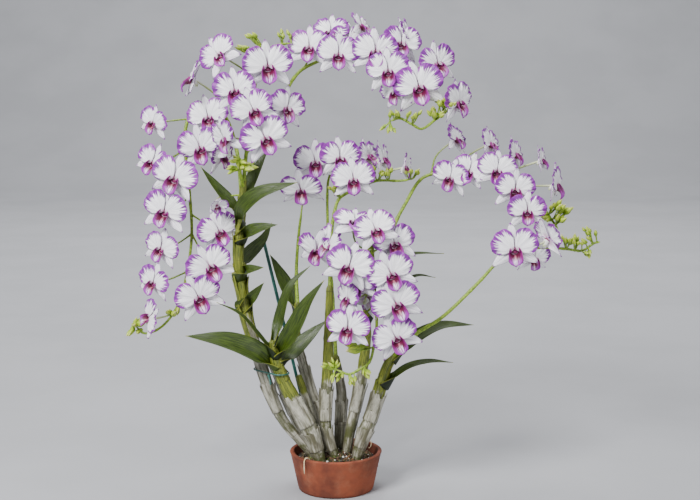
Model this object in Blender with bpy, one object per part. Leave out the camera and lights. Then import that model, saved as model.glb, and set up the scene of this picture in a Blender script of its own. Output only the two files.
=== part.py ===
"""Potted orchid: nine canes in a shallow clay pan, with strap leaves and arching flower sprays.

The plant is laid out from the centre of the pot's rim: X to the right, Y to the back, Z up,
in millimetres. The model's own origin is the centre of the pot's flat foot.
"""
import math

import bmesh
import bpy
from mathutils import Vector

MM = 0.001

# Pot, in metres
POT_RIM_DIAMETER = 0.130
POT_FOOT_DIAMETER = 0.106
POT_HEIGHT = 0.055
POT_WALL = 0.006
POT_FLOOR = 0.007
RIM_BAND_HEIGHT = 0.014
RIM_BAND_STEP = 0.0015
DRAIN_HOLE_DIAMETER = 0.012
DRAIN_HOLE_COUNT = 3
DRAIN_RING_RADIUS = 0.028

# Potting mix, in metres
MIX_BELOW_RIM = 0.012
MIX_MOUND = 0.009
MIX_MOUND_RADIUS = 0.046

# Fits, in metres: the gap between touching pieces, and what a faceted cutter adds to keep it
FIT_GAP = 0.0003
CUTTER_GAP = 1.2 * FIT_GAP

# Plant, in metres
CANE_DEPTH_IN_MIX = 0.026
CANE_SIZE = 1.0
LEAF_THICKNESS = 0.0022
LEAF_SIZE = 1.0
LEAF_FOOT_SHARE = 0.8
LEAF_FOOT_LENGTH = 0.2
FLOWER_SPAN = 0.066
STEM_RADIUS = 0.0026
STALK_RADIUS = 0.0012
BUD_LENGTH = 0.020
STAKE_DIAMETER = 0.005
TIE_WIRE_DIAMETER = 0.002
TIE_HEIGHT = 0.118
STRAND_DIAMETER = 0.0024

# How finely the meshes are divided: sides round a tube, and steps between two route points
POT_SIDES = 40
HOLE_SIDES = 16
MOUND_RINGS = 4
CANE_SIDES = 8
CANE_STEPS = 2
LEAF_STEPS = 3
STEM_SIDES = 5
STEM_STEPS = 2
STALK_SIDES = 4
BUD_SIDES = 4
STAKE_SIDES = 8
WIRE_SIDES = 6

# Canes: feet and bends in mm from the rim's centre, then the thickness in mm at foot, middle and top.
# The first point is where the cane leaves the mix.
CANES = {
    "cane_tall_left": (
        [(-34, -6, -8), (-41, -6, 3), (-53, -6, 17), (-76, -6, 47), (-92, -6, 83), (-105, -6, 125),
         (-115, -6, 158), (-126, -5, 200), (-135, -4, 272), (-132, -2, 315), (-130, 0, 350), (-126, 0, 385)],
        (14, 18, 9)),
    "cane_behind_left": (
        [(-32, 23, -8), (-46, 25, 16), (-64, 26, 54), (-80, 26, 95), (-91, 25, 122), (-99, 24, 146)],
        (14, 18, 13)),
    "cane_front_left": (
        [(-22, -30, -8), (-35, -31, 34), (-53, -32, 70), (-67, -33, 98), (-79, -33, 126),
         (-85, -33, 150), (-88, -33, 164)],
        (17, 24, 9)),
    "cane_inner_left": (
        [(-14, 21, -8), (-26, 22, 47), (-38, 22, 87), (-49, 22, 127), (-55, 21, 155), (-56, 20, 188),
         (-54, 20, 208)],
        (14, 16, 8)),
    "cane_centre": (
        [(-2, -15, -8), (-8, -15, 14), (-14, -14, 40), (-13, -14, 80), (-11, -14, 123), (-10, -13, 163),
         (-9, -12, 202), (-8, -10, 237)],
        (14, 17, 9)),
    "cane_behind_centre": (
        [(4, 17, -8), (6, 18, 27), (8, 20, 70), (5, 20, 99), (-1, 19, 133)],
        (14, 17, 10)),
    "cane_inner_right": (
        [(15, -2, -8), (19, -2, 20), (25, -2, 50), (33, -2, 86), (38, -2, 118), (43, -3, 160),
         (43, -3, 190), (47, -3, 217)],
        (14, 17, 9)),
    "cane_right": (
        [(30, -16, -8), (38, -17, 22), (47, -17, 45), (56, -16, 72), (64, -15, 100), (72, -14, 123),
         (80, -12, 139)],
        (14, 21, 11)),
    "cane_stub": (
        [(-19, -1, -8), (-27, 0, 24), (-38, 1, 62), (-48, 2, 92), (-53, 2, 107)],
        (11, 13, 9)),
}

# Leaves: the cane each one grows on, its midrib in mm from the cane's axis to the tip, its width in mm,
# and which way its upper side looks.
LEAVES = {
    "leaf_low_left": ("cane_front_left", [(-80, -33, 128), (-112, -48, 154), (-152, -56, 170),
                                          (-203, -60, 176)], 30, (0.1, -1, 0.7)),
    "leaf_strip_left": ("cane_front_left", [(-83, -33, 142), (-102, -46, 172), (-128, -56, 205),
                                            (-160, -62, 222)], 10, (0.5, -0.5, 1)),
    "leaf_front_broad": ("cane_front_left", [(-83, -33, 142), (-62, -52, 176), (-38, -62, 222),
                                             (-14, -68, 254)], 27, (-0.5, -1, 0.5)),
    "leaf_front_narrow": ("cane_front_left", [(-86, -33, 154), (-80, -16, 185), (-64, -18, 236),
                                              (-35, -14, 265)], 16, (-0.4, -1, 0.4)),
    "leaf_centre_broad": ("cane_front_left", [(-80, -33, 130), (-60, -10, 144), (-36, 0, 165),
                                              (-12, 4, 186)], 24, (-0.3, -1, 0.5)),
    "leaf_pale_long": ("cane_tall_left", [(-132, -2, 318), (-128, -28, 346), (-100, -44, 370),
                                          (-50, -56, 384)], 24, (-0.3, -1, 0.5)),
    "leaf_folded": ("cane_tall_left", [(-133, -3, 300), (-118, -26, 314), (-98, -38, 322),
                                       (-78, -46, 326)], 20, (-0.2, -1, 0.5)),
    "leaf_short": ("cane_tall_left", [(-134, -4, 250), (-122, -22, 260), (-98, -34, 266)],
                   16, (0, -0.8, 0.8)),
    "leaf_dark_low": ("cane_tall_left", [(-130, -5, 205), (-116, -20, 222), (-98, -28, 244)],
                      15, (0.4, -1, 0.4)),
    "leaf_inner_left": ("cane_inner_left", [(-55, 20, 195), (-66, 30, 222), (-84, 36, 256),
                                            (-94, 38, 274)], 22, (0.4, -1, 0.3)),
    "leaf_back_left": ("cane_tall_left", [(-135, -4, 262), (-124, 14, 276), (-104, 24, 296),
                                          (-90, 30, 320)], 20, (0.5, -0.9, 0.3)),
    "leaf_upper_left": ("cane_tall_left", [(-131, -1, 335), (-150, -6, 358), (-166, -10, 378),
                                           (-184, -14, 402)], 18, (0.6, -0.8, 0.5)),
    "leaf_upright": ("cane_tall_left", [(-130, 0, 355), (-118, 14, 380), (-106, 20, 404),
                                        (-94, 26, 424)], 20, (-0.5, -1, 0.3)),
    "leaf_right_high": ("cane_inner_right", [(44, -3, 200), (72, -16, 252), (100, -14, 280),
                                             (150, -8, 281)], 12, (0, -0.5, 1)),
    "leaf_right_mid": ("cane_inner_right", [(43, -3, 186), (78, -16, 230), (110, -20, 252),
                                            (138, -20, 250)], 12, (0, -0.5, 1)),
    "leaf_right_broad": ("cane_right", [(78, -13, 130), (108, -2, 160), (148, 4, 178),
                                        (194, 6, 178)], 20, (0, -0.9, 0.8)),
    "leaf_right_low": ("cane_right", [(67, -15, 98), (98, -30, 126), (128, -36, 136),
                                      (162, -38, 134)], 12, (0, -0.7, 1)),
}

# Sprays: the cane each one grows on and the stem's route in mm. Flowers follow as place in mm, turn, nod
# and lean in degrees, and size; buds as place in mm and size. Turn 0 looks to the front, and grows to the
# right; nod is up; lean tips the flower over to the right.
SPRAYS = {
    "spray_left_arch": {
        "cane": "cane_tall_left",
        "stem": [(-130, 0, 362), (-137, 26, 415), (-152, 44, 462), (-176, 48, 488), (-200, 46, 480),
                 (-212, 40, 445), (-209, 34, 400), (-205, 28, 358), (-202, 20, 305), (-208, 12, 253),
                 (-220, 5, 208), (-242, 0, 178), (-266, -4, 168), (-280, -6, 180)],
        "flowers": [
            ((-200, 20, 520), -80, 20, 10, 1.0), ((-252, 10, 460), -35, -5, -12, 0.8),
            ((-176, 16, 466), -10, 0, 5, 1.0), ((-186, 6, 424), -12, -8, 0, 1.08),
            ((-158, 16, 412), 60, -10, 0, 0.8), ((-256, 8, 404), -30, 0, 0, 0.9),
            ((-222, -8, 384), -15, 0, -8, 1.1), ((-236, -10, 338), -20, 0, -8, 1.08),
            ((-160, -8, 310), 15, 0, 5, 0.98), ((-160, 4, 352), 20, -10, 5, 0.6),
            ((-242, -8, 286), -15, 0, 0, 0.95), ((-172, -16, 262), 12, 0, 0, 1.08),
            ((-252, -14, 240), -20, 0, 0, 0.98), ((-188, -22, 220), 10, -5, 0, 1.1),
            ((-257, -26, 194), -60, 10, 30, 0.85)],
        "buds": [((-224, -14, 198), 0.8), ((-270, -12, 184), 0.9), ((-284, -8, 172), 0.7)],
    },
    "spray_top_left": {
        "cane": "cane_tall_left",
        "stem": [(-127, 0, 376), (-122, -10, 420), (-114, -12, 470), (-108, -8, 520), (-100, 2, 552),
                 (-84, 10, 566), (-60, 14, 570)],
        "flowers": [
            ((-156, -22, 552), -25, 10, -20, 0.95), ((-90, -34, 536), 10, -8, 14, 1.1),
            ((-134, -40, 504), -12, -5, 10, 1.0), ((-108, -48, 478), 0, -8, -6, 1.0),
            ((-148, -38, 440), -50, -15, 0, 0.95), ((-93, -44, 440), 8, -5, -4, 1.08),
            ((-66, -18, 480), 35, -5, 30, 0.95)],
        "buds": [((-113, 6, 578), 0.6), ((-126, 2, 560), 0.6), ((-72, 16, 580), 0.5)],
    },
    "spray_top_right": {
        "cane": "cane_tall_left",
        "stem": [(-131, 0, 346), (-120, 44, 396), (-98, 56, 450), (-72, 54, 500), (-54, 50, 528),
                 (-32, 46, 542), (8, 42, 556), (60, 38, 548), (108, 32, 515), (140, 22, 490),
                 (150, 4, 478), (136, -14, 466), (118, -20, 454), (104, -20, 460), (88, -18, 468),
                 (74, -20, 464)],
        "flowers": [
            ((-36, 14, 562), -10, 5, 4, 0.98), ((4, 4, 552), 5, 0, 0, 0.98),
            ((-7, 34, 584), -10, 20, 0, 0.85), ((37, 28, 592), 65, 30, 20, 0.8),
            ((17, 30, 572), 10, 10, 0, 0.85), ((55, 0, 556), 0, 0, 0, 1.05),
            ((90, 14, 568), 20, 5, 10, 0.95), ((72, -8, 530), -5, -5, 0, 1.0),
            ((114, -12, 508), 0, -5, 4, 1.18), ((140, 4, 540), 30, 5, 10, 1.0),
            ((82, 6, 502), -40, -10, 0, 0.85), ((168, -10, 488), 50, 0, 12, 1.0),
            ((100, 30, 582), 75, 20, 0, 0.8)],
        "buds": [((150, -20, 488), 0.8), ((134, -26, 474), 0.8), ((108, -28, 472), 0.6),
                 ((84, -26, 474), 0.6), ((72, -24, 452), 0.5)],
    },
    "spray_centre_left": {
        "cane": "cane_inner_left",
        "stem": [(-54, 20, 204), (-56, 32, 250), (-53, 38, 299), (-48, 38, 338)],
        "flowers": [((-48, 14, 366), -10, -30, 0, 1.0)],
        "buds": [],
    },
    "spray_centre": {
        "cane": "cane_behind_centre",
        "stem": [(0, 19, 128), (-4, 36, 200), (-10, 42, 280), (-12, 42, 334), (-11, 40, 376),
                 (-4, 40, 396)],
        "flowers": [((-28, 18, 404), -5, -5, 0, 1.0), ((6, 12, 410), 10, 0, 0, 0.95)],
        "buds": [],
    },
    "spray_centre_right": {
        "cane": "cane_centre",
        "stem": [(-8, -11, 232), (-7, 0, 280), (-5, 8, 316), (2, 12, 350), (14, 14, 362),
                 (36, 16, 372), (58, 18, 380), (88, 18, 380), (104, 16, 382)],
        "flowers": [((25, -12, 382), 0, -5, 0, 0.98), ((46, 16, 414), 60, 15, 0, 0.8),
                    ((66, 14, 410), 70, 10, 0, 0.8), ((98, 10, 398), 75, 0, 20, 0.7)],
        "buds": [((48, -4, 394), 0.7), ((72, 2, 392), 0.7), ((-1, -4, 368), 0.6), ((104, 2, 394), 0.6)],
    },
    "spray_upper_right": {
        "cane": "cane_inner_right",
        "stem": [(46, -3, 212), (66, 18, 262), (82, 28, 315), (100, 32, 350), (116, 32, 377),
                 (134, 32, 388), (173, 32, 394), (228, 30, 380), (270, 22, 358), (290, 14, 342),
                 (300, 6, 327), (309, 0, 314)],
        "flowers": [
            ((159, 6, 383), -25, -15, 0, 0.95), ((170, 34, 436), 60, 20, 0, 0.8),
            ((184, -2, 393), -10, 0, 0, 1.0), ((217, 30, 430), 60, 15, 0, 0.8),
            ((222, -6, 396), 0, 0, 0, 1.08), ((251, 20, 416), 65, 10, 0, 0.8),
            ((245, -8, 366), 5, -5, 0, 0.98), ((262, -12, 338), 0, 0, 0, 1.0),
            ((306, 4, 374), 70, 0, 0, 0.95), ((287, 18, 408), 70, 15, 0, 0.7)],
        "buds": [((290, -4, 330), 0.7), ((308, -6, 346), 0.8), ((314, -8, 328), 0.7),
                 ((322, -2, 340), 0.7)],
    },
    "spray_lower_right": {
        "cane": "cane_right",
        "stem": [(80, -12, 136), (110, -24, 170), (150, -28, 198), (196, -30, 244), (222, -30, 272),
                 (252, -28, 288), (284, -26, 292), (316, -26, 290), (337, -28, 288), (353, -28, 298),
                 (362, -28, 300)],
        "flowers": [((242, -56, 292), 0, 0, 0, 1.08), ((288, -50, 306), 120, 20, 0, 0.95),
                    ((276, 0, 272), 20, -20, 0, 0.8)],
        "buds": [((306, -34, 304), 0.7), ((322, -34, 302), 0.7), ((338, -34, 302), 0.6),
                 ((344, -36, 314), 0.5), ((346, -34, 282), 0.5)],
    },
    "spray_front": {
        "cane": "cane_inner_right",
        "stem": [(46, -3, 206), (50, -26, 262), (50, -46, 306), (50, -60, 320), (50, -70, 300),
                 (52, -70, 250), (56, -68, 194), (52, -66, 162), (46, -64, 140), (32, -64, 130),
                 (18, -64, 124), (0, -62, 130)],
        "flowers": [
            ((-24, -52, 290), -30, -20, 0, 1.0), ((-8, -76, 298), -60, 10, 0, 1.0),
            ((18, -98, 274), -5, 0, 0, 1.08), ((26, -72, 330), 20, 50, 0, 1.0),
            ((54, -88, 322), 5, 15, 0, 0.95), ((78, -82, 302), 10, 0, 10, 1.0),
            ((75, -98, 264), 5, 0, 0, 1.05), ((82, -98, 224), 5, -5, 0, 1.1),
            ((82, -94, 178), 5, -10, 0, 1.05), ((32, -84, 250), -30, -10, 0, 0.9),
            ((18, -90, 228), -60, 0, 0, 0.9), ((17, -98, 192), -15, -5, 0, 1.0),
            ((44, -60, 226), 160, 0, 0, 0.9)],
        "buds": [((26, -76, 160), 1.1), ((44, -74, 124), 0.6), ((24, -70, 114), 0.6),
                 ((4, -68, 118), 0.5), ((-6, -62, 136), 0.5)],
    },
    "spray_young": {
        "cane": "cane_tall_left",
        "stem": [(-127, 0, 370), (-130, -14, 392), (-132, -20, 410)],
        "flowers": [],
        "buds": [((-132, -20, 408), 0.8), ((-118, -24, 400), 0.8), ((-142, -20, 396), 0.5)],
    },
}

# Where the plant stake stands, in mm from the rim's centre: its foot in the mix, and its top.
STAKE_FOOT = (-26, 38, -36)
STAKE_TOP = (-104, 48, 296)
TIED_CANES = ("cane_tall_left", "cane_behind_left", "cane_front_left")

# The dry strand over the rim: its compass angle in degrees, 0 to the right and -90 to the front.
STRAND_ANGLE = -130
STRAND_HANG = 0.020


def clear_scene():
    """Remove every object that the scene starts with."""
    for obj in list(bpy.data.objects):
        bpy.data.objects.remove(obj, do_unlink=True)


def material(name, colour, roughness, metallic=0.0):
    """Return a Principled material with one colour, roughness and metallic value."""
    made = bpy.data.materials.new(name)
    made.use_nodes = True
    shader = made.node_tree.nodes["Principled BSDF"]
    shader.inputs["Base Color"].default_value = (*colour, 1.0)
    shader.inputs["Roughness"].default_value = roughness
    shader.inputs["Metallic"].default_value = metallic
    made.diffuse_color = (*colour, 1.0)
    return made


def add_object(name, verts, faces, finish, smooth_angle=40):
    """Link a new mesh object to the scene and shade it smooth up to an angle in degrees."""
    mesh = bpy.data.meshes.new(name)
    mesh.from_pydata([tuple(v) for v in verts], [], faces)
    mesh.validate()
    mesh.update()
    mesh.shade_smooth()
    mesh.set_sharp_from_angle(angle=math.radians(smooth_angle))
    mesh.materials.append(finish)
    obj = bpy.data.objects.new(name, mesh)
    bpy.context.scene.collection.objects.link(obj)
    return obj


def hide_operand(obj):
    """Mark an object as the second operand of a Boolean, which is not a piece of its own."""
    obj.hide_render = True
    obj.display_type = "WIRE"


def boolean(obj, operand, operation):
    """Add an exact Boolean to obj."""
    hide_operand(operand)
    modifier = obj.modifiers.new(operation.title(), "BOOLEAN")
    modifier.operation = operation
    modifier.object = operand
    modifier.solver = "EXACT"


def from_rim(point):
    """Turn a point in mm from the centre of the pot's rim into model metres."""
    return Vector((point[0] * MM, point[1] * MM, point[2] * MM + POT_HEIGHT))


def smooth_route(points, per_span):
    """Read a Catmull-Rom curve through points, with per_span steps in each span."""
    padded = [2 * points[0] - points[1], *points, 2 * points[-1] - points[-2]]
    route = []
    for i in range(1, len(padded) - 2):
        before, start, end, after = padded[i - 1], padded[i], padded[i + 1], padded[i + 2]
        for step in range(per_span):
            t = step / per_span
            route.append(0.5 * (2 * start + (end - before) * t
                                + (2 * before - 5 * start + 4 * end - after) * t * t
                                + (3 * start - before - 3 * end + after) * t ** 3))
    route.append(points[-1].copy())
    return route


def along(route):
    """Return the share of the route's length reached at each of its points."""
    reached = [0.0]
    for start, end in zip(route, route[1:]):
        reached.append(reached[-1] + (end - start).length)
    return [value / reached[-1] for value in reached]


def directions(route):
    """Return the unit direction of travel at each point of the route."""
    last = len(route) - 1
    return [(route[min(i + 1, last)] - route[max(i - 1, 0)]).normalized() for i in range(last + 1)]


def lengthened(route, gap):
    """Return the route with both of its ends moved outwards by gap."""
    ways = directions(route)
    return [route[0] - ways[0] * gap, *route[1:-1], route[-1] + ways[-1] * gap]


def tube(route, radii, sides):
    """Return the vertices and faces of a closed tube along route, one radius for each point."""
    ways = directions(route)
    side = ways[0].orthogonal().normalized()
    verts = []
    for centre, way, radius in zip(route, ways, radii):
        side = (side - way * side.dot(way)).normalized()
        other = way.cross(side)
        for k in range(sides):
            turn = math.tau * k / sides
            verts.append(centre + radius * (math.cos(turn) * side + math.sin(turn) * other))
    faces = [tuple(range(sides - 1, -1, -1))]
    for ring in range(len(route) - 1):
        for k in range(sides):
            a = ring * sides + k
            b = ring * sides + (k + 1) % sides
            faces.append((a, b, b + sides, a + sides))
    first = (len(route) - 1) * sides
    faces.append(tuple(range(first, first + sides)))
    return verts, faces


def turned(profile, sides):
    """Return a closed turned solid from (radius, height) points that start and end on the axis."""
    verts = [Vector((0, 0, profile[0][1]))]
    for radius, height in profile[1:-1]:
        for k in range(sides):
            turn = math.tau * k / sides
            verts.append(Vector((radius * math.cos(turn), radius * math.sin(turn), height)))
    verts.append(Vector((0, 0, profile[-1][1])))
    rings = len(profile) - 2
    faces = [(0, 1 + (k + 1) % sides, 1 + k) for k in range(sides)]
    for ring in range(rings - 1):
        for k in range(sides):
            a = 1 + ring * sides + k
            b = 1 + ring * sides + (k + 1) % sides
            faces.append((a, b, b + sides, a + sides))
    top = len(verts) - 1
    first = 1 + (rings - 1) * sides
    faces.extend((first + k, first + (k + 1) % sides, top) for k in range(sides))
    return verts, faces


def pot_outer_radius(height):
    """Return the pot wall's outer radius at a height above the foot, below the rim band."""
    share = height / POT_HEIGHT
    lower = POT_FOOT_DIAMETER / 2
    upper = POT_RIM_DIAMETER / 2 - RIM_BAND_STEP
    return lower + (upper - lower) * share


def pot_inner_radius(height):
    """Return the pot wall's inner radius at a height above the foot."""
    return pot_outer_radius(height) - POT_WALL


def make_pot(finish):
    """Make the clay pan with its rim band and drain holes."""
    edge = 0.0015
    rim = POT_RIM_DIAMETER / 2
    band = POT_HEIGHT - RIM_BAND_HEIGHT
    foot = pot_outer_radius(0)
    profile = [
        (0, 0),
        (foot - edge, 0),
        (foot, edge),
        (pot_outer_radius(band - edge), band - edge),
        (rim, band),
        (rim, POT_HEIGHT - 2 * edge),
        (rim - edge, POT_HEIGHT),
        (pot_inner_radius(POT_HEIGHT) + edge, POT_HEIGHT),
        (pot_inner_radius(POT_HEIGHT - edge), POT_HEIGHT - edge),
        (pot_inner_radius(POT_FLOOR), POT_FLOOR),
        (0, POT_FLOOR),
    ]
    verts, faces = turned(profile, POT_SIDES)
    pot = add_object("pot", verts, faces, finish, smooth_angle=30)
    for k in range(DRAIN_HOLE_COUNT):
        turn = math.tau * (k + 0.25) / DRAIN_HOLE_COUNT
        centre = Vector((DRAIN_RING_RADIUS * math.cos(turn), DRAIN_RING_RADIUS * math.sin(turn), 0))
        ends = [centre - Vector((0, 0, POT_FLOOR)), centre + Vector((0, 0, 2 * POT_FLOOR))]
        verts, faces = tube(ends, [DRAIN_HOLE_DIAMETER / 2] * 2, HOLE_SIDES)
        cutter = add_object(f"drain_cutter_{k + 1}", verts, faces, finish)
        boolean(pot, cutter, "DIFFERENCE")


def mix_height(radius):
    """Return the height of the mix's top at a distance from the pot's axis."""
    level = POT_HEIGHT - MIX_BELOW_RIM
    if radius >= MIX_MOUND_RADIUS:
        return level
    return level + MIX_MOUND * 0.5 * (1 + math.cos(math.pi * radius / MIX_MOUND_RADIUS))


def make_mix(finish, cane_cutters, stake_cutter):
    """Make the potting mix, which fills the pot and is pierced by the canes and the stake."""
    bottom = POT_FLOOR + FIT_GAP
    level = POT_HEIGHT - MIX_BELOW_RIM
    side_gap = FIT_GAP / math.cos(math.pi / POT_SIDES)
    profile = [(0, bottom), (pot_inner_radius(bottom) - side_gap, bottom)]
    profile.append((pot_inner_radius(level) - side_gap, level))
    for k in range(MOUND_RINGS):
        radius = MIX_MOUND_RADIUS * (1 - k / MOUND_RINGS)
        profile.append((radius, mix_height(radius)))
    profile.append((0, mix_height(0)))
    verts, faces = turned(profile, POT_SIDES)
    mix = add_object("potting_mix", verts, faces, finish)
    for cutter in (*cane_cutters, stake_cutter):
        boolean(mix, cutter, "DIFFERENCE")


def cane_route(name):
    """Return the cane's centre line in metres, from its foot in the mix to its top."""
    points = [from_rim(point) for point in CANES[name][0]]
    foot = points[0] - Vector((0, 0, CANE_DEPTH_IN_MIX))
    return smooth_route([foot, *points], CANE_STEPS)


def cane_radii(name, route, extra):
    """Return the cane's radius at each point of its route, in metres."""
    foot, middle, top = (0.5 * size * MM * CANE_SIZE for size in CANES[name][1])
    radii = []
    for share in along(route):
        if share < 0.4:
            blend = math.sin(0.5 * math.pi * share / 0.4)
            radii.append(foot + (middle - foot) * blend + extra)
        else:
            blend = ((share - 0.4) / 0.6) ** 1.6
            radii.append(middle + (top - middle) * blend + extra)
    return radii


def make_canes(finish):
    """Make the canes, and return one slightly larger cutter for each."""
    cutters = {}
    for name in CANES:
        route = cane_route(name)
        verts, faces = tube(route, cane_radii(name, route, 0), CANE_SIDES)
        add_object(name, verts, faces, finish)
        longer = lengthened(route, FIT_GAP)
        verts, faces = tube(longer, cane_radii(name, longer, CUTTER_GAP), CANE_SIDES)
        cutters[name] = add_object(f"cutter_{name}", verts, faces, finish)
        hide_operand(cutters[name])
    return cutters


def cane_radius_near(name, place):
    """Return the cane's radius where its route passes nearest to a place."""
    route = cane_route(name)
    radii = cane_radii(name, route, 0)
    return min(zip(route, radii), key=lambda pair: (pair[0] - place).length)[1]


def leaf_half_width(share, width, cane_radius):
    """Return half the leaf's width at a share of its length: a pointed tip, and a foot within its cane."""
    swell = math.sin(math.pi * min(1.0, 0.16 + 0.84 * share) ** 0.85)
    half = max(0.5 * width * swell, 0.04 * width)
    foot = min(half, LEAF_FOOT_SHARE * cane_radius)
    return foot + (half - foot) * min(1.0, share / LEAF_FOOT_LENGTH)


def make_leaf(name, cane, cutter, points, width, upper_side, finish):
    """Make one strap leaf with a shallow channel along its midrib, ending against its cane."""
    route = smooth_route([from_rim(point) for point in points], LEAF_STEPS)
    cane_radius = cane_radius_near(cane, route[0])
    hint = Vector(upper_side).normalized()
    verts = []
    for centre, way, share in zip(route, directions(route), along(route)):
        side = way.cross(hint).normalized()
        up = side.cross(way).normalized()
        half = leaf_half_width(share, width * MM * LEAF_SIZE, cane_radius)
        sink = 0.22 * half
        verts.append(centre - side * half + up * sink)
        verts.append(centre + up * (LEAF_THICKNESS / 2) - up * sink * 0.5)
        verts.append(centre + side * half + up * sink)
        verts.append(centre - up * (LEAF_THICKNESS / 2) - up * sink * 0.5)
    faces = [(0, 1, 2, 3)]
    for ring in range(len(route) - 1):
        for k in range(4):
            a = 4 * ring + k
            b = 4 * ring + (k + 1) % 4
            faces.append((a, a + 4, b + 4, b))
    last = 4 * (len(route) - 1)
    faces.append((last + 3, last + 2, last + 1, last))
    leaf = add_object(name, verts, faces, finish)
    boolean(leaf, cutter, "DIFFERENCE")


def flower_axes(turn, nod, lean):
    """Return a flower's facing, right and up directions from its turn, nod and lean in degrees."""
    turn, nod, lean = math.radians(turn), math.radians(nod), math.radians(lean)
    facing = Vector((math.sin(turn) * math.cos(nod), -math.cos(turn) * math.cos(nod), math.sin(nod)))
    right = Vector((math.cos(turn), math.sin(turn), 0))
    up = facing.cross(right)
    leaned_up = up * math.cos(lean) + right * math.sin(lean)
    leaned_right = right * math.cos(lean) - up * math.sin(lean)
    return facing, leaned_right, leaned_up


# Sizes of a flower as shares of half its span, except where a line says otherwise.
# Half of the outline, clockwise from the top: degrees, reach, and how far it stands forward.
FLOWER_OUTLINE = [(0, 1.0, -0.10), (28, 0.42, 0.0), (50, 0.90, 0.04), (78, 1.02, -0.02),
                  (106, 0.86, 0.02), (124, 0.44, 0.0), (149, 1.0, -0.04), (180, 0.36, 0.0)]
THROAT_REACH = 0.16
THROAT_DEPTH = -0.10
BACK_DEPTH = -0.34
SPUR_WIDTH = 1.8
# The lip's tip: how far up, and how far forward.
LIP_TIP = (-0.42, 0.24)
# A bud's rings from its foot to its tip: place along its length from the middle, and swell.
BUD_SHAPE = [(-0.5, 0.24), (-0.1, 0.9), (0.25, 0.75), (0.5, 0.12)]
BUD_GIRTH = 0.28


def ring_of(centre, right, up, reach, sides):
    """Return points on a circle, clockwise from halfway between up and right."""
    turns = [math.tau * (k + 0.5) / sides for k in range(sides)]
    return [centre + reach * (right * math.sin(turn) + up * math.cos(turn)) for turn in turns]


def bridge(outer, outer_turns, inner, sides):
    """Return the triangles between an outer ring, with its turns in degrees, and an inner ring."""
    faces = []
    count = len(outer)
    held = [int(turn / 360 * sides) % sides for turn in outer_turns]
    for k in range(count):
        after = (k + 1) % count
        faces.append((outer[k], outer[after], inner[held[k]]))
        if held[after] != held[k]:
            faces.append((outer[after], inner[held[after]], inner[held[k]]))
    return faces


def flower_solid(place, turn, nod, lean, size, start):
    """Return one flower as a closed mesh: five tepals, the lip, and the stalk back to start."""
    facing, right, up = flower_axes(turn, nod, lean)
    half = 0.5 * FLOWER_SPAN * size
    outline = FLOWER_OUTLINE + [(360 - a, r, f) for a, r, f in reversed(FLOWER_OUTLINE[1:-1])]
    turns = [angle for angle, _, _ in outline]
    verts = []
    for angle, reach, forward in outline:
        across = right * math.sin(math.radians(angle)) + up * math.cos(math.radians(angle))
        verts.append(place + half * (reach * across + forward * facing))
    count = len(verts)
    sides = STALK_SIDES
    rim = list(range(count))
    throat = [count + k for k in range(sides)]
    verts += ring_of(place + facing * half * THROAT_DEPTH, right, up, half * THROAT_REACH, sides)
    faces = bridge(rim, turns, throat, sides)
    tip = len(verts)
    verts.append(place + half * (up * LIP_TIP[0] + facing * LIP_TIP[1]))
    faces.extend((throat[k], throat[(k + 1) % sides], tip) for k in range(sides))

    back = place + facing * half * BACK_DEPTH
    reach = 0.4 * (back - start).length
    bend = (start + 2 * (back - facing * reach)) / 3
    rings = [ring_of(back, right, up, STALK_RADIUS * SPUR_WIDTH, sides)]
    side = right
    for centre, way in ((bend, (back - start).normalized()), (start, (bend - start).normalized())):
        side = (side - way * side.dot(way)).normalized()
        rings.append(ring_of(centre, side, way.cross(side), STALK_RADIUS, sides))
    first = len(verts)
    for ring in rings:
        verts += ring
    faces.extend(bridge(rim, turns, [first + k for k in range(sides)], sides))
    for ring in range(len(rings) - 1):
        for k in range(sides):
            a = first + ring * sides + k
            b = first + ring * sides + (k + 1) % sides
            faces.append((a, b, b + sides, a + sides))
    last = first + (len(rings) - 1) * sides
    faces.append(tuple(last + k for k in range(sides)))
    return verts, faces


def nearest(route, place, back):
    """Return the point on a stem from which a stalk to place leaves, a little back towards the foot."""
    index = min(range(len(route)), key=lambda i: (route[i] - place).length)
    return route[max(0, index - back)]


def bud_solid(place, start, size):
    """Return one bud on its stalk as a closed tube that swells and tapers."""
    way = (place - start).normalized()
    length = BUD_LENGTH * size
    route = [start] + [place + way * (length * step) for step, _ in BUD_SHAPE]
    radii = [STALK_RADIUS * 0.8] + [BUD_GIRTH * length * swell for _, swell in BUD_SHAPE]
    return tube(route, radii, BUD_SIDES)


def outward(obj):
    """Turn all faces of a closed mesh to point outwards."""
    shell = bmesh.new()
    shell.from_mesh(obj.data)
    bmesh.ops.recalc_face_normals(shell, faces=shell.faces)
    shell.to_mesh(obj.data)
    shell.free()


def make_spray(name, spec, cutter, finish):
    """Make one spray: a stem, its flower stalks, flowers and buds, joined into one body."""
    route = smooth_route([from_rim(point) for point in spec["stem"]], STEM_STEPS)
    radii = [STEM_RADIUS * (1.15 - 0.35 * share) for share in along(route)]
    verts, faces = tube(route, radii, STEM_SIDES)
    spray = add_object(name, verts, faces, finish)
    growths = []
    for point, turn, nod, lean, size in spec["flowers"]:
        place = from_rim(point)
        facing = flower_axes(turn, nod, lean)[0]
        start = nearest(route, place - facing * (0.5 * FLOWER_SPAN * size), 1)
        growths.append(flower_solid(place, turn, nod, lean, size, start))
    for point, size in spec["buds"]:
        place = from_rim(point)
        growths.append(bud_solid(place, nearest(route, place, 0), size))
    for number, (verts, faces) in enumerate(growths, 1):
        growth = add_object(f"{name}_growth_{number}", verts, faces, finish)
        outward(growth)
        boolean(spray, growth, "UNION")
    boolean(spray, cutter, "DIFFERENCE")


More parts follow.
